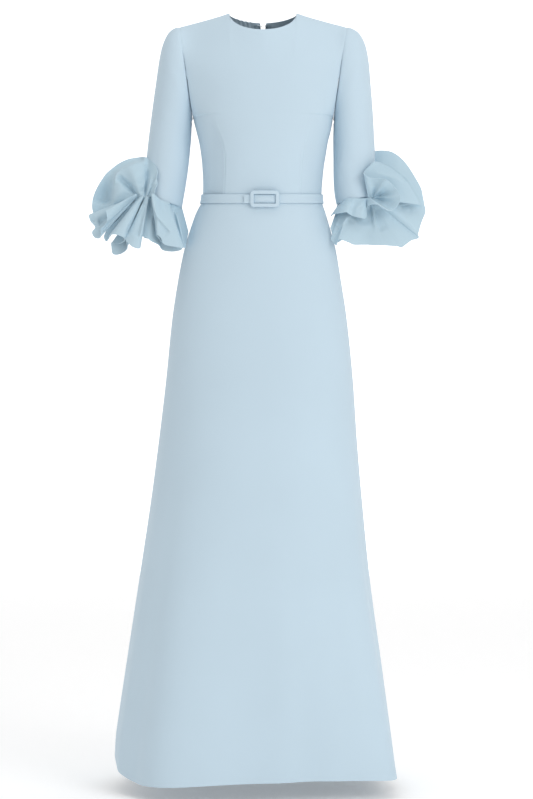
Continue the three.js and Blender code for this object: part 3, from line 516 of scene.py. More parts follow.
def crepe(name, colour, roughness, sheen, grain=0.18, grain_size=0.7):
    """Crepe: pebbled fine weave, a faint cross thread and slow changes of tone."""
    material, nodes, links, shader = principled(name, colour, roughness, sheen=sheen)
    place = nodes.new("ShaderNodeTexCoord").outputs["Object"]
    slow = noise(nodes, links, place, 5, 3)
    tone = colour_ramp(nodes, links, slow, 0.3, 0.7, (shade(colour, 0.975), shade(colour, 1.02)))
    fine_scale = 1 / (grain_size * METRE)
    fine = noise(nodes, links, place, fine_scale, 3, (1, 1, 1.6))
    threads = colour_ramp(nodes, links, fine, 0.3, 0.75, (shade(colour, 0.95), shade(colour, 1.03)))
    blend = nodes.new("ShaderNodeMix")
    blend.data_type = "RGBA"
    blend.inputs["Factor"].default_value = 0.4
    links.new(tone, blend.inputs["A"])
    links.new(threads, blend.inputs["B"])
    links.new(blend.outputs["Result"], shader.inputs["Base Color"])
    pebble = noise(nodes, links, place, fine_scale * 0.55, 2)
    heights = nodes.new("ShaderNodeMath")
    heights.operation = "ADD"
    links.new(fine, heights.inputs[0])
    links.new(pebble, heights.inputs[1])
    bump(nodes, links, shader, heights.outputs["Value"], grain, 0.0004)
    return material


def tape_cloth(name, colour):
    """Zip tape: ribbed across its length."""
    material, nodes, links, shader = principled(name, colour, 0.75, sheen=0.1)
    place = nodes.new("ShaderNodeTexCoord").outputs["Object"]
    wave = nodes.new("ShaderNodeTexWave")
    wave.bands_direction = "Z"
    wave.inputs["Scale"].default_value = 500
    wave.inputs["Distortion"].default_value = 0.6
    links.new(place, wave.inputs["Vector"])
    ribs = colour_ramp(nodes, links, wave.outputs["Fac"], 0.2, 0.8, (shade(colour, 0.86), colour))
    links.new(ribs, shader.inputs["Base Color"])
    bump(nodes, links, shader, wave.outputs["Fac"], 0.3, 0.0003)
    return material


def brushed_metal(name, colour):
    """Metal with a fine brushed grain and a little wear."""
    material, nodes, links, shader = principled(name, colour, 0.32, metallic=1.0)
    place = nodes.new("ShaderNodeTexCoord").outputs["Object"]
    grain = noise(nodes, links, place, 900, 2, (1, 1, 0.1))
    tone = colour_ramp(nodes, links, grain, 0.25, 0.75, (shade(colour, 0.8), shade(colour, 1.1)))
    links.new(tone, shader.inputs["Base Color"])
    bump(nodes, links, shader, grain, 0.12, 0.0002)
    return material


CREPE_COLOUR = (0.565, 0.700, 0.795)
RUFFLE_COLOUR = (0.500, 0.655, 0.745)
BELT_COLOUR = (0.560, 0.695, 0.790)
TAPE_COLOUR = (0.430, 0.560, 0.650)
METAL_COLOUR = (0.480, 0.540, 0.590)

CREPE = crepe("crepe", CREPE_COLOUR, roughness=0.8, sheen=0.15)
RUFFLE = crepe("ruffle_crepe", RUFFLE_COLOUR, roughness=0.6, sheen=0.2, grain=0.12)
BELTING = crepe("belt_crepe", BELT_COLOUR, roughness=0.7, sheen=0.15, grain=0.12, grain_size=0.6)
TAPE = tape_cloth("zip_tape", TAPE_COLOUR)
METAL = brushed_metal("zip_metal", METAL_COLOUR)


# The panels

DART = {
    "left": table("z x", [(-214, -97), (-232, -94), (-255, -85), (-275, -78), (-297, -75), (-325, -75),
                          (-362, -77)]),
    "right": table("z x", [(-219, 95), (-249, 90), (-273, 83), (-286, 79), (-325, 76), (-362, 75)]),
}
DART_LINE = {"left": 1.1, "right": 0.6, "width": 1.1}
DART_TURN = {"left": 4.6, "right": 1.4, "reach": 11}
SIDE_DART = {"from_x": -139, "from_z": -209, "to_x": -119, "to_z": -199, "depth": 1.2, "width": 2.2}
NECK_RIPPLE = {"from": 0.08, "to": 0.34, "length": 0.055, "depth": 1.1, "down": 34}


def bodice_rows(fine):
    """Levels of the bodice: heights to the armpit, then angles of the armhole."""
    below = lines(WAIST_Z, ARMPIT_Z, fine)[:-1]
    angles = lines(0, 180, 2.4, [(0, 4, 0.6)])[::-1]
    return [{"z": z} for z in below] + [{"arm": arm} for arm in angles]


def across(clusters):
    """Shares of the half width from edge to edge, closer together in the clusters of degrees."""
    degrees = lines(-90, 90, 2.4, clusters)
    neck_turn = math.degrees(math.asin(NECK_SHARE))
    degrees = np.unique(np.concatenate([degrees, [-neck_turn, neck_turn]]))
    return np.sin(np.radians(degrees))


def dart_folds(grid):
    """Presses the waist darts in: a sewn line, and cloth that turns away beyond it."""
    x, z = grid[..., 0], grid[..., 2]
    inward = np.zeros(x.shape)
    for side, line in DART.items():
        sign = -1 if side == "left" else 1
        middle = read(line, "z", "x", z)
        start = line["z"].max()
        grown = np.clip((start - z) / 40, 0, 1)
        beyond = (x - middle) * sign
        groove = DART_LINE[side] * np.exp(-(beyond / DART_LINE["width"]) ** 2)
        turn = DART_TURN[side] * (1 - np.exp(-np.maximum(beyond, 0) / DART_TURN["reach"]))
        room = np.clip((np.abs(grid[0, 0 if sign < 0 else -1, 0]) - np.abs(x)) / 20, 0, 1)
        inward += grown * (groove + turn * room)
    return inward


def side_dart(grid):
    """The short dart that points from the side seam to the bust."""
    x, z = grid[..., 0], grid[..., 2]
    run_x = SIDE_DART["to_x"] - SIDE_DART["from_x"]
    run_z = SIDE_DART["to_z"] - SIDE_DART["from_z"]
    length = math.hypot(run_x, run_z)
    along = ((x - SIDE_DART["from_x"]) * run_x + (z - SIDE_DART["from_z"]) * run_z) / length**2
    off = ((x - SIDE_DART["from_x"]) * run_z - (z - SIDE_DART["from_z"]) * run_x) / length
    fade = np.clip(1 - along, 0, 1) * (along > -0.4)
    return SIDE_DART["depth"] * fade * np.exp(-(off / SIDE_DART["width"]) ** 2)


def bodice_front():
    shares = across([(-40, 8, 0.5), (40, 8, 0.5), (-90, 8, 0.8), (90, 8, 0.8)])
    grid = np.stack([bodice_row(shares, "front", **level) for level in bodice_rows(3)])
    outward = np.broadcast_to([0, -1, 0], grid.shape)
    inward = dart_folds(grid) + side_dart(grid)
    grid = grid - grid_normals(grid, outward) * inward[..., None]
    grid = seam_grooves(grid, outward, [(1, 0), (1, 1)])
    return wall("cloth_bodice_front", grid, CLOTH, CREPE, outward)


ZIP = {"bottom": -533, "tape": 11, "thick": 0.7, "slider_z": -66, "open": 6, "open_power": 1.4,
       "top_drop": 3, "half_gap": 0.15, "tape_gap": 0.5, "inside": 1.6}


def zip_half_gap(z):
    undone = np.clip((z - ZIP["slider_z"]) / (-NECK_DROP["back"] - ZIP["slider_z"]), 0, 1)
    return ZIP["half_gap"] + ZIP["open"] * undone ** ZIP["open_power"]


def neck_ripples(shares, grid):
    """Small ripples in the back of the neck on the viewer's left."""
    wide = np.abs(shares)[None, :]
    begun = np.clip((wide - NECK_RIPPLE["from"]) / 0.05, 0, 1)
    held = begun * np.clip((NECK_RIPPLE["to"] - wide) / 0.08, 0, 1)
    down = np.clip(1 + (grid[..., 2] + NECK_DROP["back"]) / NECK_RIPPLE["down"], 0, 1)
    return NECK_RIPPLE["depth"] * held * down * np.sin(2 * math.pi * wide / NECK_RIPPLE["length"])


def bodice_back(side):
    sign = -1 if side == "left" else 1
    shares = across([(-90, 8, 0.8), (90, 8, 0.8), (0, 6, 0.6), (14, 8, 0.7), (-14, 8, 0.7)])
    shares = np.sort(np.abs(shares[shares * sign >= 0]))
    shares = np.unique(np.round(np.concatenate([[0], shares]), 9)) * sign
    grid = np.stack([bodice_row(shares + sign * 1e-9, "back", **level) for level in bodice_rows(4)])
    grid[..., 0] += sign * zip_half_gap(grid[..., 2]) * (1 - np.abs(shares)) ** 2
    outward = np.broadcast_to([0, 1, 0], grid.shape)
    if side == "left":
        grid = grid + grid_normals(grid, outward) * neck_ripples(shares, grid)[..., None]
    grid = seam_grooves(grid, outward, [(1, 0), (1, 1)])
    return wall(f"cloth_bodice_back_{side}", grid, CLOTH, CREPE, outward)


def skirt_panel(name, from_turn, to_turn):
    """A panel between two turns. Its mesh is finer at its seams, below the belt and at the hem."""
    step, edge, fine = 1.5, 1.6, 0.3
    turns = lines(from_turn, to_turn, step, [(from_turn, edge, fine), (to_turn, edge, fine)])
    levels = lines(HEM_Z, WAIST_Z, 9, [(-390, 18, 3), (HEM_Z + 20, 6, 2)])
    turn, z = np.meshgrid(turns, levels)
    grid = body_point(turn, z, soft_folds(turn, z))
    outward = from_axis(grid)
    grid = seam_grooves(grid, outward, [(1, 0), (1, 1)])
    return wall(name, grid, CLOTH, CREPE, outward)


SLEEVE_CREASES = {
    "left": table("ring degrees length spread depth", [
        (5.6, 150, 0.9, 26, 1.6),
        (6.5, 35, 0.7, 22, 1.2),
        (7.3, 140, 0.8, 30, -1.3),
        (8.6, 60, 0.6, 20, 1.4),
        (9.3, 120, 0.5, 22, 1.2),
        (6.1, 250, 0.8, 28, 1.5),
        (8.0, 300, 0.7, 26, -1.4),
        (2.2, 190, 0.6, 34, 1.8),
        (3.2, 215, 0.6, 30, 1.4),
    ]),
    "right": table("ring degrees length spread depth", [
        (5.9, 145, 0.8, 24, 1.3),
        (7.0, 40, 0.7, 24, 1.2),
        (7.8, 128, 0.8, 28, -1.2),
        (9.0, 80, 0.5, 24, 1.5),
        (6.4, 255, 0.8, 28, 1.5),
        (8.3, 290, 0.7, 26, -1.3),
        (2.3, 188, 0.6, 34, 1.8),
        (3.3, 210, 0.6, 30, 1.4),
    ]),
}


def sleeve(side):
    rings = lines(0, 10, 0.16, [(0, 0.3, 0.06)])
    degrees = lines(0, 360, 4)[:-1]
    turn, ring = np.meshgrid(degrees, rings)
    grid = ring_point(side, ring, turn)
    outward = grid - grid.mean(axis=1, keepdims=True)
    creases = SLEEVE_CREASES[side]
    inward = np.zeros(turn.shape)
    for k, middle in enumerate(creases["degrees"]):
        away = turned_away(turn, middle) / creases["spread"][k]
        slant = creases["ring"][k] + 0.02 * (turned_away(turn, middle) - 30)
        down = (ring - slant) / creases["length"][k]
        inward += creases["depth"][k] * np.exp(-away**2 - down**2)
    grid = grid - grid_normals(grid, outward, True) * inward[..., None]
    grid = seam_grooves(grid, outward, [(0, 0)], True)
    return wall(f"cloth_sleeve_{side}", grid, CLOTH, CREPE, outward, True)


# The ruffles. Each row is a fold line from the gathered end to the rim, with x and z as the camera
# sees them, and d how far it stands forward. Near, half and far are what is added to that depth a
# quarter, a half and three quarters of the way out.
FOLD_COLUMNS = "from_x from_z from_d rim_x rim_z rim_d near half far"
LOBE_LEFT = table(FOLD_COLUMNS, [
    (-251, -368.5, 30, -340, -399, 4, 3, 5, -4),
    (-251, -367.5, 30, -342, -385, 8, 5, 8, -7),
    (-251, -367.5, 30, -339, -367, 12, 5, 9, -8),
    (-250, -367.5, 31, -332, -350, 16, 4, 9, -7),
    (-250, -366.5, 32, -321, -331, 22, 3, 7, -1),
    (-248, -367.5, 32, -313, -320, 27, -1, 4, 3),
    (-247, -367.5, 31, -304, -312, 29, -4, -3, 1),
    (-246, -368.5, 32, -290, -301, 30, 0, 2, 3),
    (-244, -368.5, 34, -272, -292, 30, 6, 12, 9),
    (-241, -368.5, 36, -252, -288, 26, 6, 13, 10),
    (-238, -368.5, 36, -236, -287, 24, 2, 10, 8),
    (-236, -368.5, 36, -227, -292, 24, -6, -2, 2),
    (-235, -368.5, 38, -217, -302, 34, 4, 6, 2),
    (-233, -368.5, 38, -211, -313, 44, 2, 0, 2),
    (-232, -368.5, 38, -213, -327, 52, -4, -4, 0),
    (-230, -367.5, 40, -211, -338, 50, 2, 2, 2),
    (-228, -367.5, 40, -216, -350, 56, -2, -2, 0),
    (-226, -366.5, 42, -217, -360, 54, 0, 0, 0),
])
FAN_LEFT = table(FOLD_COLUMNS, [
    (-252, -363.5, 28, -340, -399, 21, 0, 0, 0),
    (-252, -364.5, 28, -348, -403, 28, 0, 0, 0),
    (-252, -364.5, 28, -346, -413, 36, 0, 0, 0),
    (-252, -364.5, 28, -336, -427, 38, 1, 1, 0),
    (-251, -364.5, 28, -342, -437, 42, 3, 3, 1),
    (-251, -364.5, 29, -338, -447, 50, 4, 4, 3),
    (-251, -365.5, 30, -329, -449, 59, 6, 6, 3),
    (-251, -364.5, 32, -325, -445, 67, 7, 7, 3),
    (-251, -363.5, 34, -325, -431, 68, 5, 5, 2),
    (-252, -362.5, 36, -318, -424, 69, 5, 5, 2),
    (-253, -361.5, 36, -312, -413, 67, 5, 5, 2),
    (-254, -360.5, 36, -314, -394, 63, 7, 7, 4),
    (-252, -362.5, 32, -308, -409, 50, 3, 3, 1),
    (-250, -365.5, 30, -312, -433, 52, 0, 0, 0),
    (-249, -365.5, 30, -318, -447, 52, 0, 0, 0),
    (-248, -366.5, 30, -314, -455, 55, 1, 1, 0),
    (-247, -366.5, 32, -309, -449, 58, 4, 4, 1),
    (-246, -365.5, 34, -307, -443, 71, 7, 8, 4),
    (-244, -365.5, 36, -298, -441, 82, 8, 10, 6),
    (-242, -365.5, 38, -284, -445, 84, 8, 10, 6),
    (-239, -365.5, 38, -276, -451, 78, 7, 8, 4),
    (-238, -366.5, 36, -279, -457, 66, 4, 4, 1),
    (-238, -366.5, 34, -290, -461, 59, 1, 1, 0),
    (-237, -367.5, 34, -302, -459, 51, 0, 0, 0),
    (-237, -367.5, 34, -303, -467, 49, 0, 0, 0),
    (-236, -367.5, 34, -300, -481, 49, 0, 0, 0),
    (-236, -367.5, 34, -286, -481, 49, 0, 0, 0),
    (-236, -367.5, 34, -273, -471, 54, 1, 1, 0),
    (-235, -367.5, 36, -273, -459, 63, 3, 3, 1),
    (-235, -366.5, 38, -276, -450, 76, 6, 6, 3),
    (-234, -365.5, 40, -270, -459, 86, 8, 10, 6),
    (-232, -365.5, 42, -260, -467, 91, 10, 11, 7),
    (-229, -366.5, 42, -247, -470, 87, 8, 10, 6),
    (-228, -367.5, 40, -245, -464, 75, 4, 4, 1),
    (-227, -367.5, 36, -252, -453, 68, 0, 0, 0),
    (-226, -368.5, 34, -251, -447, 64, -1, -1, 0),
    (-226, -368.5, 34, -244, -446, 62, -1, -1, 0),
    (-226, -368.5, 34, -236, -446, 63, -1, -1, 0),
    (-225, -367.5, 36, -228, -451, 65, 0, 0, 0),
    (-224, -367.5, 38, -223, -455, 65, 1, 1, 0),
    (-223, -367.5, 40, -208, -463, 62, 3, 3, 1),
    (-222, -366.5, 40, -200, -473, 58, 3, 3, 1),
    (-221, -366.5, 40, -184, -476, 58, 3, 3, 1),
    (-220, -365.5, 40, -167, -474, 59, 3, 3, 1),
    (-219, -364.5, 42, -163, -470, 66, 4, 4, 1),
    (-220, -363.5, 44, -176, -465, 70, 6, 6, 3),
    (-222, -362.5, 46, -200, -459, 71, 6, 6, 3),
    (-223, -361.5, 48, -210, -449, 75, 7, 7, 3),
    (-224, -360.5, 50, -213, -442, 77, 6, 6, 3),
    (-222, -359.5, 52, -204, -449, 80, 6, 7, 4),
    (-216, -361.5, 52, -198, -461, 80, 5, 7, 4),
    (-208, -369.5, 48, -184, -465, 79, 5, 7, 4),
    (-198, -374.5, 45, -166, -468, 76, 5, 6, 4),
    (-190, -377.5, 42, -158, -468, 71, 4, 6, 3),
    (-186, -379.5, 40, -161, -462, 58, -1, -3, -1),
    (-182, -381.5, 38, -164, -459, 51, -4, -6, -3),
    (-178, -382.5, 36, -156, -469, 53, 0, 0, 0),
    (-170, -385.5, 26, -152, -453, 43, 0, 0, 0),
    (-162, -387.5, 4, -149, -436, 29, 0, 0, 0),
])
DISC_RIGHT = table(FOLD_COLUMNS, [
    (218, -369, 24, 221, -275, -36, 0, 0, 0),
    (219, -369, 26, 240, -274, -30, 2, 2, 2),
    (220, -370, 27, 258, -277, -24, 2, 4, 2),
    (221, -370, 28, 276, -289, -16, 2, 4, 4),
    (221, -370, 29, 290, -305, -10, 0, 2, 4),
    (222, -371, 30, 304, -327, -4, 0, 0, 2),
    (222, -371, 30, 316, -349, 0, 2, 2, 2),
    (222, -371, 30, 320, -367, 4, 2, 4, 2),
    (222, -371, 31, 323, -383, 10, 2, 2, 0),
    (222, -372, 31, 325, -397, 18, 4, 4, 2),
    (222, -372, 32, 318, -415, 30, 4, 6, 4),
    (221, -372, 33, 313, -431, 40, 2, 4, 3),
    (221, -373, 33, 310, -443, 40, 1, 2, 2),
    (220, -373, 34, 311, -449, 38, 0, 0, 0),
    (220, -373, 34, 298, -453, 44, -1, -1, 0),
    (220, -373, 34, 288, -460, 48, 0, 1, 1),
    (219, -373, 34, 278, -467, 54, 1, 2, 1),
    (218, -373, 34, 269, -465, 56, 1, 1, 0),
    (218, -373, 34, 256, -464, 60, 0, 0, 0),
    (217, -373, 35, 243, -463, 64, -2, -1, 0),
    (216, -373, 36, 231, -463, 66, 1, 1, 0),
    (215, -373, 36, 221, -463, 66, -3, -2, 0),
    (214, -373, 38, 210, -462, 66, -1, -1, -1),
    (212, -373, 40, 198, -462, 68, -1, -1, -1),
    (206, -373, 42, 182, -462, 72, -2, -1, 1),
    (198, -373, 44, 171, -457, 74, -3, -1, 0),
    (190, -373, 45, 158, -452, 76, -4, -3, -1),
    (184, -373, 45, 152, -451, 76, -4, -3, -1),
    (178, -373, 44, 148, -458, 78, -3, -2, 0),
    (172, -373, 42, 146, -463, 74, -3, -2, -1),
    (166, -375, 38, 142, -460, 62, -1, -1, -1),
    (161, -377, 30, 136, -451, 56, -1, -1, 0),
    (156, -379, 20, 138, -442, 50, 0, 0, 0),
    (151, -382, 8, 135, -428, 42, 0, 0, 0),
])
FRILL_RIGHT = table(FOLD_COLUMNS, [
    (150, -383, 8, 135, -405, 26, 2, 2, 0),
    (155, -379, 20, 140, -401, 44, 4, 4, 2),
    (168, -369.5, 38, 151, -399, 60, 6, 6, 2),
    (178, -369.5, 44, 166, -397, 68, 6, 6, 2),
    (186, -369.5, 46, 176, -403, 66, 2, 2, 0),
    (194, -369.5, 46, 184, -406, 72, 4, 4, 2),
    (201, -369.5, 46, 198, -409, 76, 6, 6, 2),
    (205, -369.5, 45, 206, -409, 70, 4, 4, 0),
    (207, -369.5, 44, 208, -400, 60, 0, 0, 0),
    (208, -368.5, 43, 207, -391, 56, 0, 0, 0),
    (210, -368.5, 43, 210, -384, 62, 2, 2, 0),
    (212, -367.5, 43, 220, -381, 76, 4, 4, 2),
    (215, -367.5, 43, 230, -382, 86, 6, 8, 4),
    (218, -371, 43, 240, -387, 88, 8, 10, 6),
    (219, -371, 42, 250, -393, 82, 6, 8, 4),
    (220, -371, 42, 260, -392, 72, 2, 2, 0),
    (221, -370, 42, 271, -381, 72, -3, -1, 0),
    (221, -369, 42, 275, -365, 78, 4, 4, 2),
    (221, -369, 42, 267, -353, 70, -3, -2, 0),
    (221, -368, 42, 256, -340, 76, 4, 4, 2),
    (221, -367, 42, 246, -333, 84, 6, 6, 2),
    (220, -367, 42, 232, -330, 74, -3, -2, 0),
    (218, -367, 43, 218, -329, 68, 2, 2, 0),
    (215, -367, 43, 206, -325, 72, 2, 2, 0),
    (210, -367.5, 44, 201, -320, 66, 0, 0, 0),
    (212, -370, 40, 203, -315, 58, 0, 0, 0),
    (214, -369, 38, 206, -311, 54, 0, 0, 0),
    (216, -368, 36, 214, -303, 50, 2, 2, 0),
    (218, -368, 35, 223, -296, 44, 2, 2, 2),
    (220, -368, 34, 238, -299, 36, 0, 2, 2),
    (221, -368, 34, 254, -306, 32, -4, 0, 2),
    (222, -369, 34, 270, -317, 30, -6, -2, 2),
    (222, -369, 34, 288, -333, 30, -4, 0, 2),
    (223, -370, 35, 302, -355, 32, -2, 2, 2),
    (223, -371, 36, 311, -371, 34, 2, 4, 2),
    (223, -371, 38, 317, -383, 34, 4, 6, 4),
])
# Creases pressed into the ruffles: depth and width in millimetres, and places as the camera
# sees them. The cloth drops sharply on the left of the way they are listed, and eases back up.
LOBE_CREASES = [
    (16, 10, [(-300, -382), (-300, -364), (-299, -346), (-297, -332), (-294, -321), (-287, -314),
          (-274, -308), (-255, -299), (-236, -295)]),
    (6, 6, [(-251, -364), (-256, -352), (-261, -341), (-274, -331), (-286, -320)]),
    (4, 5, [(-240, -349), (-238, -341), (-234, -332), (-228, -321),
          (-230, -310), (-230, -298)]),
    (3, 2.5, [(-239, -365), (-240, -357), (-236, -349)]),
    (2.5, 2.5, [(-231, -364), (-232, -355), (-230, -346)]),
]
FAN_CREASES = [
    (7, 4, [(-324, -445), (-308, -428), (-290, -412), (-268, -386), (-247, -368)]),
    (3, 5, [(-239, -374), (-247, -390), (-262, -411), (-272, -428), (-276, -445)]),
    (9, 6, [(-248, -449), (-244, -434), (-240, -417), (-236, -398),
          (-232, -383), (-226, -368)]),
    (5, 5, [(-184, -438), (-200, -421), (-213, -405), (-219, -390), (-225, -367)]),
    (5, 2.5, [(-204, -455), (-212, -442), (-213, -424), (-214, -405)]),
    (10, 7, [(-192, -378), (-181, -389), (-171, -408), (-164, -428),
          (-159, -449), (-158, -468)]),
    (4, 4, [(-331, -408), (-329, -420), (-324, -428)]),
    (4, 5, [(-337, -424), (-334, -417), (-332, -409)]),
]
DISC_CREASES = [
    (4, 3, [(318, -383), (300, -382), (286, -382), (272, -382)]),
    (2, 3, [(302, -396), (295, -389), (289, -387)]),
    (2, 6, [(265, -389), (286, -409), (299, -427), (310, -444)]),
    (4, 6, [(221, -385), (222, -400), (227, -419), (234, -438)]),
    (4, 9, [(219, -424), (219, -403), (220, -385)]),
    (5, 7, [(174, -404), (160, -419), (150, -430), (142, -441)]),
]
FRILL_CREASES = [
    (3, 9, [(223, -318), (244, -323), (267, -330), (284, -342)]),
    (3, 6, [(239, -340), (226, -352), (220, -365)]),
    (3, 5, [(222, -370), (230, -374), (240, -380)]),
    (2.5, 4, [(204, -374), (197, -381), (185, -391)]),
]
CREASE_FADE = 8
CREASE_START = 6

# How much of near, half and far is added at each share of the way out.
BUMPS = table("share near half far", [
    (0, 0, 0, 0),
    (0.25, 1, 0, 0),
    (0.5, 0, 1, 0),
    (0.75, 0, 0, 1),
    (1, 0, 0, 0),
])
SLEEVE_CLEARANCE = 2.6
SOFTNESS = 2.0
SPREAD_POWER = 1.2
GATHERED = {"thin": 0.15, "growth": 4}
RIM_ROLL = {"thick": 0.7, "from": 0.975}


def true_place(seen_x, seen_z, forward):
    """The place of a point that the camera sees at x and z, this far in front of the plane y = 0."""
    nearer = (CAMERA["distance"] - forward) / CAMERA["distance"]
    x = CAMERA["x"] + (seen_x - CAMERA["x"]) * nearer
    z = CAMERA["z"] + (seen_z - CAMERA["z"]) * nearer
    return np.stack([x, -forward, z], -1)


def sleeve_front(side, x, z):
    """How far forward the sleeve's front is at a place, and zero beside or below it."""
    rings = SLEEVE_RINGS[side]
    outer = read(rings, "outer_z", "outer_x", z)
    inner = read(rings, "inner_z", "inner_x", z)
    share = np.clip((x - rings["inner_x"][-1]) / (rings["outer_x"][-1] - rings["inner_x"][-1]), 0, 1)
    low = mix(rings["inner_z"][-1], rings["outer_z"][-1], share)
    away = (x - (outer + inner) / 2) / (np.abs(outer - inner) / 2)
    depth = read(rings, "outer_z", "front", z) * np.sqrt(np.clip(1 - away**2, 0, 1))
    return np.where(z < low, 0, depth)


def creased(x, z, creases):
    """How far the listed creases press the cloth back at seen places."""
    pressed = np.zeros(x.shape)
    for depth, width, line in creases:
        line = np.array(line, float)
        nearest = np.full(x.shape, np.inf)
        drop = np.zeros(x.shape)
        run = np.insert(np.cumsum(np.linalg.norm(np.diff(line, axis=0), axis=1)), 0, 0)
        for k, (start, end) in enumerate(zip(line[:-1], line[1:])):
            length = run[k + 1] - run[k]
            heading = (end - start) / length
            from_start = np.stack([x - start[0], z - start[1]], -1)
            along = np.clip(from_start @ heading, 0, length)
            away = from_start - along[..., None] * heading
            distance = np.linalg.norm(away, axis=-1)
            on_left = heading[0] * away[..., 1] - heading[1] * away[..., 0] > 0
            ends = np.clip(np.minimum(run[k] + along, run[-1] - run[k] - along) / CREASE_FADE, 0, 1)
            steepness = distance / width
            here = np.where(on_left, depth * steepness * np.exp(1 - steepness), 0) * ends
            drop = np.where(distance < nearest, here, drop)
            nearest = np.minimum(nearest, distance)
        pressed += drop
    return pressed


def ruffle(name, side, rows, creases, steps=9, radial=44):
    """A ruffle swept through its fold lines."""
    rim = np.stack([rows["rim_x"], rows["rim_d"], rows["rim_z"]], -1)
    gaps = np.sqrt(np.linalg.norm(np.diff(rim, axis=0), axis=1))
    rows = dict(rows, along=np.insert(np.cumsum(gaps), 0, 0))
    along = np.interp(np.arange(0, len(rim) - 1 + 1e-9, 1 / steps), np.arange(len(rim)), rows["along"])
    at = {column: read(rows, "along", column, along) for column in FOLD_COLUMNS.split()}
    share = 1 - (1 - np.linspace(0, 1, radial + 1)[:, None]) ** SPREAD_POWER
    x = mix(at["from_x"], at["rim_x"], share)
    z = mix(at["from_z"], at["rim_z"], share)
    forward = mix(at["from_d"], at["rim_d"], share)
    for column in ("near", "half", "far"):
        forward = forward + read(BUMPS, "share", column, share) * at[column]
    forward = forward - creased(x, z, creases) * np.clip(share * CREASE_START, 0, 1)
    cover = sleeve_front(side, x, z) + SLEEVE_CLEARANCE
    lifted = cover + SOFTNESS * np.logaddexp(0, (forward - cover) / SOFTNESS)
    forward = np.where((cover > SLEEVE_CLEARANCE + 0.5) & (forward > 0), lifted, forward)
    grid = true_place(x, z, forward)
    roll = np.clip((share - RIM_ROLL["from"]) / (1 - RIM_ROLL["from"]), 0, 1)
    grown = np.clip(GATHERED["thin"] + share * GATHERED["growth"], 0, 1)
    thick = RUFFLE_CLOTH * grown + RIM_ROLL["thick"] * roll
    outward = np.broadcast_to([0, -1, 0], grid.shape)
    return wall(name, grid, np.broadcast_to(thick, grid.shape[:2]), RUFFLE, outward)


FLOUNCE = {
    "left": {"from": 192, "to": 352, "waves": 7.5, "flare": 36, "drop": 72, "swing": 9, "body": 0.1},
    "right": {"from": 192, "to": 350, "waves": 7.5, "flare": 34, "drop": 70, "swing": 9, "body": 0.05},
}


def flounce(side):
    """The rest of the cuff's ruffle, round its inner side and its back."""
    size = FLOUNCE[side]
    turn = np.linspace(0, 1, 260)[None, :]
    share = np.linspace(0, 1, 30)[:, None]
    ring = ring_point(side, 10, mix(size["from"], size["to"], turn[0]))
    last = {name: SLEEVE_RINGS[side][name][-1] for name in ("outer_x", "inner_x")}
    middle = np.array([(last["outer_x"] + last["inner_x"]) / 2, 0, 0])
    out = (ring - middle) * np.array([1, 1, 0])
    out = out / np.linalg.norm(out, axis=1, keepdims=True)
    towards_body = np.sign(last["inner_x"] - last["outer_x"])
    held = np.where(out[:, 0] * towards_body > 0, size["body"], 1)
    out = out * np.stack([held, np.ones_like(held), np.ones_like(held)], -1)
    phase = turn * size["waves"] * 2 * math.pi + 0.9 * np.sin(turn * 9) + 0.5 * np.sin(turn * 23)
    wave = (np.cos(phase) + 0.25 * np.cos(2 * phase + 0.6)) * size["swing"] * share**1.1
    reach = size["flare"] * share**0.8 + wave
    grid = ring[None] + out[None] * reach[..., None]
    fall = size["drop"] * share * (1 + 0.05 * np.sin(turn * 14)) + 0.5
    grid[..., 2] -= fall
    outward = np.broadcast_to(out, grid.shape)
    return wall(f"cloth_cuff_flounce_{side}", grid, RUFFLE_CLOTH, RUFFLE, outward)


# Belt and buckle

BELT = {"top": -362, "bottom": -380, "dip": 7, "thick": 2.4, "gap": 0.9, "open": 9}
STRAP = {"from": -37, "to": 24, "thick": 1.8, "height": 16.4, "crown": 2.2, "layer": 0.4}
BUCKLE = {"left": -25, "right": 32, "top": -362.7, "bottom": -395.3, "bar": 7.2, "thick": 4, "corner": 4}


def waist_point(turn, z, out):
    """Points of the waist, moved out from the cloth."""
    turn, z, out = np.broadcast_arrays(turn, z, out)
    point = body_point(turn, z)
    along = body_point(turn + 1, z) - body_point(turn - 1, z)
    normal = np.cross(along, [0, 0, 1])
    normal = normal / np.linalg.norm(normal, axis=-1, keepdims=True)
    sign = np.sign(np.sum(normal * from_axis(point), axis=-1, keepdims=True))
    return point + normal * sign * out[..., None]


def band_profile(height, thick, points=24, square=7):
    """A rounded flat section: heights about its middle, and distances out from its back."""
    turn = np.linspace(0, 2 * math.pi, points, endpoint=False)
    up = np.sign(np.sin(turn)) * np.abs(np.sin(turn)) ** (2 / square) * height / 2
    out = np.sign(np.cos(turn)) * np.abs(np.cos(turn)) ** (2 / 3) * thick / 2 + thick / 2
    return up, out


def belt():
    up, out = band_profile(BELT["top"] - BELT["bottom"], BELT["thick"])
    turns = np.linspace(BELT["open"], 360 - BELT["open"], 200)
    middle = (BELT["top"] + BELT["bottom"]) / 2
    down = BELT["dip"] * np.maximum(np.cos(np.radians(turns)), 0)
    z = middle - down[:, None] + up[None, :]
    grid = waist_point(turns[:, None], z, BELT["gap"] + out[None, :])
    return tube("cloth_belt_band", grid, BELTING, True)


def waist_front(x):
    """How far forward the waist is at x, where the belt stands out most."""
    depths = []
    for z in np.linspace(BELT["top"], BELT["bottom"], 3) - BELT["dip"]:
        half = np.where(x < 0, section("left", z), section("right", z))
        square = section("square", z)
        depths.append(section("front", z) * (1 - (np.abs(x) / half) ** square) ** (1 / square))
    return np.max(depths, axis=0)


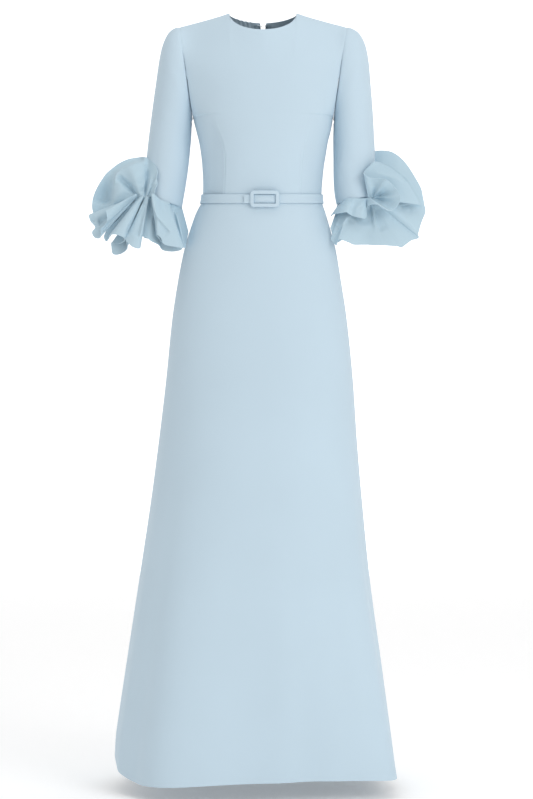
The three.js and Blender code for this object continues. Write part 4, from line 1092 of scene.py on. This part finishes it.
def strap_end():
    up, out = band_profile(STRAP["height"], STRAP["thick"])
    middle = (BUCKLE["top"] + BUCKLE["bottom"]) / 2
    x = lines(STRAP["from"], STRAP["to"], 1.2)[:, None]
    window_x = (BUCKLE["left"] + BUCKLE["right"]) / 2
    window_half = (BUCKLE["right"] - BUCKLE["left"]) / 2 - BUCKLE["bar"]
    in_window = np.clip(1 - np.abs((x - window_x) / window_half) ** 3, 0, 1)
    crown = STRAP["crown"] * in_window * (1 - (2 * up[None, :] / STRAP["height"]) ** 2)
    back = waist_front(x) + BELT["gap"] + STRAP["layer"] + BELT["thick"]
    forward = back + out[None, :] + crown
    x, up = np.broadcast_arrays(x, up[None, :])
    return tube("cloth_belt_strap_end", np.stack([x, -forward, middle + up], -1), BELTING, True)


def buckle():
    """A rectangular frame covered in the gown's cloth, bowed like the waist."""
    width, height = BUCKLE["right"] - BUCKLE["left"], BUCKLE["top"] - BUCKLE["bottom"]
    centre_x, centre_z = (BUCKLE["right"] + BUCKLE["left"]) / 2, (BUCKLE["top"] + BUCKLE["bottom"]) / 2
    middle = BUCKLE["bar"] / 2
    outline = rounded_outline(width - 2 * middle, height - 2 * middle, BUCKLE["corner"])
    normals = outline_normals(outline)
    turn = np.linspace(0, 2 * math.pi, 20, endpoint=False)
    side = np.sign(np.cos(turn)) * np.abs(np.cos(turn)) ** 0.55 * middle
    lift = np.sign(np.sin(turn)) * np.abs(np.sin(turn)) ** 0.6 * BUCKLE["thick"] / 2
    x = centre_x + outline[:, None, 0] + normals[:, None, 0] * side[None, :]
    z = centre_z + outline[:, None, 1] + normals[:, None, 1] * side[None, :]
    back = waist_front(x) + BELT["gap"] + 2 * STRAP["layer"] + BELT["thick"] + STRAP["thick"]
    forward = back + BUCKLE["thick"] / 2 + lift[None, :]
    return tube("cloth_belt_buckle", np.stack([x, -forward, z], -1), BELTING, False)


def rounded_outline(width, height, corner, corner_steps=8, side_steps=14):
    """Points round a rectangle with rounded corners, the same number on each side."""
    points = []
    for quarter in range(4):
        turn = math.pi / 2 * quarter
        sign_x = 1 if quarter in (0, 3) else -1
        sign_z = 1 if quarter in (0, 1) else -1
        middle = (sign_x * (width / 2 - corner), sign_z * (height / 2 - corner))
        for step in range(corner_steps + 1):
            angle = turn + math.pi / 2 * step / corner_steps
            points.append((middle[0] + corner * math.cos(angle), middle[1] + corner * math.sin(angle)))
        following = (quarter + 1) % 4
        next_x = (1 if following in (0, 3) else -1) * (width / 2 - corner)
        next_z = (1 if following in (0, 1) else -1) * (height / 2 - corner)
        start = points[-1]
        angle = turn + math.pi / 2
        end = (next_x + corner * math.cos(angle), next_z + corner * math.sin(angle))
        for step in range(1, side_steps):
            share = step / side_steps
            points.append((mix(start[0], end[0], share), mix(start[1], end[1], share)))
    return np.array(points)


def outline_normals(outline):
    along = np.roll(outline, -1, axis=0) - np.roll(outline, 1, axis=0)
    normals = np.stack([along[:, 1], -along[:, 0]], -1)
    return normals / np.linalg.norm(normals, axis=1, keepdims=True)


# The zip

TEETH = {"pitch": 1.6, "long": 1.7, "thick": 1.1, "high": 0.9, "overlap": 0.55}


def under_back(x, z, inside):
    """Points under the back panels near their centre edges, this far inside their outer face."""
    ridge = np.maximum(NECK_HALF - np.abs(x), 0) * RIDGE_SLOPE

    def depth_at(height):
        roll = np.clip((ridge - height) / SHOULDER_ROLL["back"], 0, 1)
        return section("back", height) * np.sqrt(1 - (1 - roll) ** 2)

    slope = depth_at(z + 1) - depth_at(z - 1)
    length = np.hypot(2, slope)
    depth = depth_at(z)
    return np.stack(np.broadcast_arrays(x, depth - 2 * inside / length, z + slope * inside / length), -1)


def zip_tape(side):
    sign = -1 if side == "left" else 1
    z = lines(ZIP["bottom"], -NECK_DROP["back"] - ZIP["top_drop"], 4)[:, None]
    share = np.linspace(0, 1, 9)[None, :]
    x = sign * (zip_half_gap(z) + ZIP["tape_gap"] + share * ZIP["tape"])
    x, z = np.broadcast_arrays(x, z)
    inside = ZIP["inside"] + ZIP["tape_gap"]
    grid = under_back(x, z, inside)
    outward = np.broadcast_to([0, 1, 0], grid.shape)
    return wall(f"cloth_zip_tape_{side}", grid, ZIP["thick"], TAPE, outward)


def zip_teeth():
    """Both rows of teeth on the tapes' edges, meshed below the slider."""
    inside = ZIP["inside"] + ZIP["tape_gap"] + ZIP["thick"] + TEETH["thick"] / 2
    points, faces = [], []
    z = ZIP["bottom"] + 6
    number = 0
    while z < -NECK_DROP["back"] - ZIP["top_drop"] - 2:
        for sign in (-1, 1):
            height = z + (TEETH["pitch"] / 2 if sign > 0 else 0)
            inner = zip_half_gap(height) + ZIP["tape_gap"] - TEETH["overlap"] - 0.3
            corners = tooth(sign, inner, height, inside)
            faces += [[number + k for k in face] for face in TOOTH_FACES]
            points += corners
            number += len(corners)
        z += TEETH["pitch"]
    piece = make_mesh("zip_teeth", points, faces, METAL)
    face_out(piece)
    return piece


TOOTH_FACES = [(0, 1, 3, 2), (4, 6, 7, 5), (0, 4, 5, 1), (2, 3, 7, 6), (0, 2, 6, 4), (1, 5, 7, 3)]


def tooth(sign, inner, height, inside):
    """The corners of one tooth, a little narrower at its tip."""
    corners = []
    for reach, narrow in ((0, 0.7), (TEETH["long"], 1)):
        for depth in (-1, 1):
            for up in (-1, 1):
                place = under_back(sign * (inner + reach), height + up * narrow * TEETH["high"] / 2,
                                   inside + depth * TEETH["thick"] / 2)
                corners.append(place)
    return corners


# Floor, light and camera. Places of lights are in metres, and their powers in watts.
STUDIO_WHITE = (0.93, 0.93, 0.93)
WORLD_LIGHT = 0.62
GLOW = {"floor": 0.2, "backdrop": 0.55}


def studio_strip(name, line):
    """A wide strip of the studio through a line of (y, z) points."""
    half = 9000
    points = [(x, y, z) for y, z in line for x in (-half, half)]
    faces = [(2 * k, 2 * k + 1, 2 * k + 3, 2 * k + 2) for k in range(len(line) - 1)]
    material, nodes, links, shader = principled("pale_" + name, STUDIO_WHITE, 0.9)
    shader.inputs["Emission Color"].default_value = (1, 1, 1, 1)
    shader.inputs["Emission Strength"].default_value = GLOW[name]
    make_mesh(name, points, faces, material)


def stage():
    """A pale floor that sweeps up far behind the gown. Behind means further than any view of it."""
    floor_z, back, radius = -1545, 8500, 2500
    bend = back - radius
    sweep = []
    for step in range(13):
        angle = math.pi / 2 * step / 12
        sweep.append((bend + radius * math.sin(angle), floor_z + radius * (1 - math.cos(angle))))
    studio_strip("floor", [(-7000, floor_z), (bend, floor_z)])
    studio_strip("backdrop", sweep + [(back, 7000)])


def area_light(name, place, target, size, power):
    data = bpy.data.lights.new(name, "AREA")
    data.shape = "DISK"
    data.size = size
    data.energy = power
    light = bpy.data.objects.new(name, data)
    light.location = place
    direction = np.array(target, float) - np.array(place, float)
    light.rotation_euler = look_along(direction)
    bpy.context.scene.collection.objects.link(light)


def look_along(direction):
    return Vector(direction).to_track_quat("-Z", "Y").to_euler()


def world():
    scene = bpy.context.scene
    scene.world = bpy.data.worlds.new("studio")
    scene.world.use_nodes = True
    background = scene.world.node_tree.nodes["Background"]
    background.inputs["Color"].default_value = (1, 1, 1, 1)
    background.inputs["Strength"].default_value = WORLD_LIGHT


def camera():
    data = bpy.data.cameras.new("camera")
    data.lens = CAMERA["lens"]
    data.sensor_width = CAMERA["sensor"]
    data.sensor_fit = "AUTO"
    data.clip_end = 60
    view = bpy.data.objects.new("camera", data)
    view.location = (CAMERA["x"] * METRE, -CAMERA["distance"] * METRE, CAMERA["z"] * METRE)
    view.rotation_euler = (math.pi / 2, 0, 0)
    bpy.context.scene.collection.objects.link(view)
    bpy.context.scene.camera = view


camera()
bpy.context.scene.view_settings.view_transform = "Standard"
world()
stage()
area_light("key", place=(2.6, -3.6, 0.9), target=(0, 0, -0.7), size=2.6, power=52)
area_light("top", place=(0, -0.6, 3.2), target=(0, 0, -1.2), size=3.0, power=30)


def dress(piece):
    """Puts a cloth piece in the place of the node that it is named after: hides the node and hangs the
    piece on the garment's body.
    """
    node = piece.name.removeprefix("cloth_")
    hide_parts(node)
    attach(piece, "garment")


dress(bodice_front())
for side in ("left", "right"):
    dress(bodice_back(side))
dress(skirt_panel("cloth_skirt_front", -90, 90))
dress(skirt_panel("cloth_skirt_back_left", -180, -90))
dress(skirt_panel("cloth_skirt_back_right", 90, 180))
for side in ("left", "right"):
    dress(sleeve(side))
for side in ("left", "right"):
    dress(flounce(side))
dress(ruffle("cloth_cuff_lobe_left", "left", LOBE_LEFT, LOBE_CREASES))
dress(ruffle("cloth_cuff_fan_left", "left", FAN_LEFT, FAN_CREASES))
dress(ruffle("cloth_cuff_disc_right", "right", DISC_RIGHT, DISC_CREASES))
dress(ruffle("cloth_cuff_frill_right", "right", FRILL_RIGHT, FRILL_CREASES))
for side in ("left", "right"):
    dress(zip_tape(side))
for piece in (belt(), strap_end(), buckle()):
    dress(piece)

teeth = zip_teeth()
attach(teeth, "garment")
for node in ("zip_slider", "zip_pull_tab", "neck_hook", "neck_eye"):
    shown = frame["nodes"][node]
    shown.data.materials.clear()
    shown.data.materials.append(METAL)
